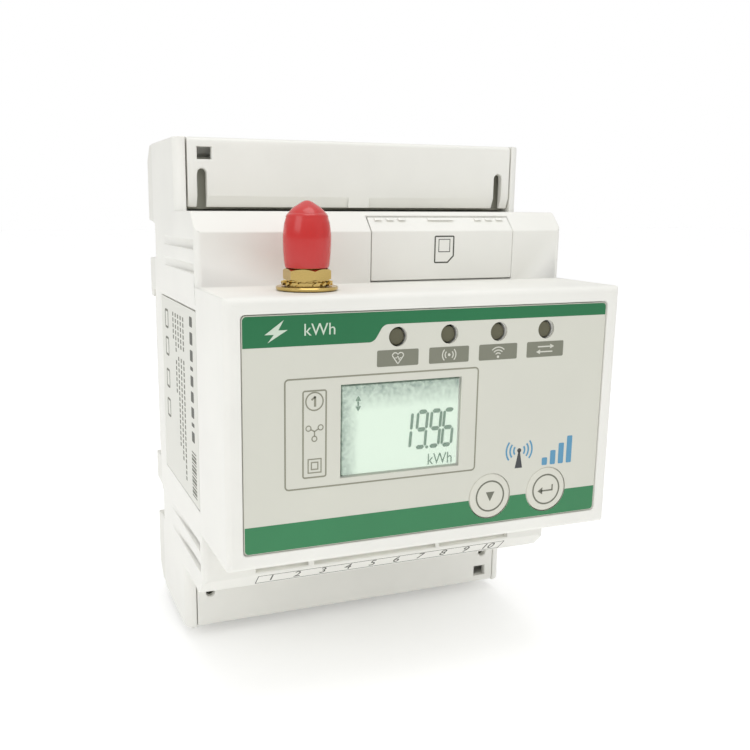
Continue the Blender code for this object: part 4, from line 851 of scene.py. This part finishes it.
low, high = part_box("antenna_nut")
nut_mid = middle_of("antenna_nut")
corner = (high.x - low.x) / 2 / MM
nut_bottom, nut_top = low.z / MM, high.z / MM
form = bmesh.new()
bmesh.ops.create_cone(form, cap_ends=True, segments=6, radius1=corner * MM, radius2=corner * MM,
                      depth=high.z - low.z, matrix=Matrix.Translation(nut_mid))
nut = piece("antenna_hex_nut", form, gold_plate, "gold_plate", "meter", "antenna_nut")


def shaped_by(thing, form, operation):
    """Apply a Boolean with a shape that is thrown away afterwards."""
    mesh = bpy.data.meshes.new("tool")
    form.to_mesh(mesh)
    form.free()
    tool = link(bpy.data.objects.new("tool", mesh))
    step = thing.modifiers.new("shape", "BOOLEAN")
    step.operation = operation
    step.object = tool
    bpy.context.view_layer.update()
    shaped = bpy.data.meshes.new_from_object(thing.evaluated_get(bpy.context.evaluated_depsgraph_get()))
    thing.modifiers.clear()
    thing.data = shaped
    bpy.data.objects.remove(tool)
    bpy.data.meshes.remove(mesh)


form = bmesh.new()
flat_reach = corner * math.cos(math.pi / 6)
spun(form, nut_mid, [(0, nut_bottom - 0.5), (flat_reach + 0.05, nut_bottom - 0.5),
                     (flat_reach + 0.05, nut_bottom), (corner + 0.3, nut_bottom + NUT_CHAMFER * 0.5),
                     (corner + 0.3, nut_top - NUT_CHAMFER), (flat_reach - 0.1, nut_top),
                     (flat_reach - 0.1, nut_top + 0.5), (0, nut_top + 0.5)], 72)
shaped_by(nut, form, "INTERSECT")
form = bmesh.new()
bmesh.ops.create_cone(form, cap_ends=True, segments=48, radius1=WASHER_BORE * MM, radius2=WASHER_BORE * MM,
                      depth=0.01, matrix=Matrix.Translation(nut_mid))
shaped_by(nut, form, "DIFFERENCE")
polished(nut, 20)

low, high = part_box("antenna_connector")
socket_mid = middle_of("antenna_connector")
block_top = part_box("flat_washer")[0].z / MM
thread_top = high.z / MM
outer = THREAD_OUTER
profile = [(0, low.z / MM), (1.6, low.z / MM), (1.6, block_top - 4.2), (outer, block_top - 4.2),
           (outer, block_top + 3.4)]
turns = int((thread_top - block_top - 3.9) / THREAD_PITCH)
for turn in range(turns):
    foot = block_top + 3.6 + THREAD_PITCH * turn
    profile += [(outer - THREAD_CUT, foot), (outer, foot + THREAD_PITCH / 2)]
profile += [(outer - THREAD_CUT, thread_top - 0.2), (outer - THREAD_CUT - 0.2, thread_top),
            (1.9, thread_top), (1.9, thread_top - 2.6), (0.45, thread_top - 2.6),
            (0.45, thread_top - 0.9), (0.0, thread_top - 0.7)]
form = bmesh.new()
spun(form, socket_mid, profile, 48)
polished(piece("antenna_socket", form, gold_plate, "gold_plate", "meter", "antenna_connector"))

low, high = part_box("antenna_cap")
cap_mid = middle_of("antenna_cap")
foot = low.z / MM
outer = (high.x - low.x) / 2 / MM
tall = (high.z - low.z) / MM
profile = [(0.0, foot + tall), (outer * 0.1, foot + tall - 0.05), (outer * 0.22, foot + tall - 0.26),
           (outer * 0.36, foot + tall - 0.62), (outer * 0.54, foot + tall - 1.05),
           (outer * 0.72, foot + tall - 1.7), (outer * 0.85, foot + tall - 2.5),
           (outer * 0.94, foot + tall - 3.6), (outer * 0.995, foot + tall - 5.2), (outer, foot + 4.6),
           (outer * 0.985, foot + 2.6), (outer * 0.955, foot + 1.2), (outer * 0.93, foot + 0.35),
           (outer * 0.9, foot), (CAP_BORE, foot), (CAP_BORE, foot + CAP_HOLLOW),
           (CAP_BORE * 0.9, foot + CAP_HOLLOW + 0.5), (0.0, foot + CAP_HOLLOW + 0.5)]
form = bmesh.new()
spun(form, cap_mid, profile, 72)
polished(piece("dust_cap_red", form, red_vinyl, "red_vinyl", "dust_cap", "antenna_cap"), 60)


# The terminal blocks are grey glass-filled plastic, with slotted zinc-plated screws. They show only
# while their covers are open.
block_plastic = grained("terminal_plastic", (0.34, 0.34, 0.28), 0.5, 2600.0, 0.006, 0.12)
zinc = grained("zinc_steel", (0.62, 0.62, 0.62), 0.3, 2200.0, 0.002, 0.1, 1.0)
softened("upper_terminals", "top_terminal_block", block_plastic, "terminal_plastic", "meter", 0.15)
softened("lower_terminals", "bottom_terminal_block", block_plastic, "terminal_plastic", "meter", 0.12)
for prefix, count, made in (("top_screw", 6, "upper_screw"), ("bottom_screw", 10, "lower_screw")):
    for number in range(1, count + 1):
        softened("%s_%02d" % (made, number), "%s_%02d" % (prefix, number), zinc, "zinc_steel", "meter", 0.1)


# The rail clip is a black moulded nylon slide in the base's channel. A small coil spring of steel
# wire pushes it up against the rail.
clip_nylon = grained("clip_plastic", (0.03, 0.03, 0.031), 0.48, 2600.0, 0.005, 0.15)
softened("rail_clip_slide_bar", "din_clip", clip_nylon, "clip_plastic", "rail_clip", 0.18)


# The pieces inside keep the frame's shapes: boards, chips, transformers, switches and the spring.
# Each takes the finish of its material slot, and its place and fixing are the frame's.
board_laminate = grained("board_laminate", (0.02, 0.15, 0.06), 0.38, 1800.0, 0.004, 0.15)
tinned = grained("tinned_steel", (0.66, 0.66, 0.64), 0.34, 1600.0, 0.002, 0.08, 1.0)
black_plastic = grained("black_plastic", (0.03, 0.03, 0.03), 0.45, 2600.0, 0.004, 0.15)
white_plastic = grained("white_plastic", (0.8, 0.8, 0.78), 0.4, 2600.0, 0.003)
blue_sleeve = grained("blue_sleeve", (0.04, 0.12, 0.42), 0.35, 1600.0, 0.003, 0.1)
cell_glass = grained("display_cell", (0.5, 0.62, 0.5), 0.12, 900.0, 0.001)
FINISHES = {"board_laminate": board_laminate, "tinned_steel": tinned, "black_plastic": black_plastic,
            "white_plastic": white_plastic, "blue_sleeve": blue_sleeve, "display_cell": cell_glass,
            "zinc_steel": zinc, "key_film": key_film}
for entry in frame["record"]["subparts"]:
    thing = frame["nodes"][entry["node"]]
    if not thing.hide_render:
        finish = FINISHES[entry["material_slot"]]
        thing.data.materials.clear()
        thing.data.materials.append(finish)
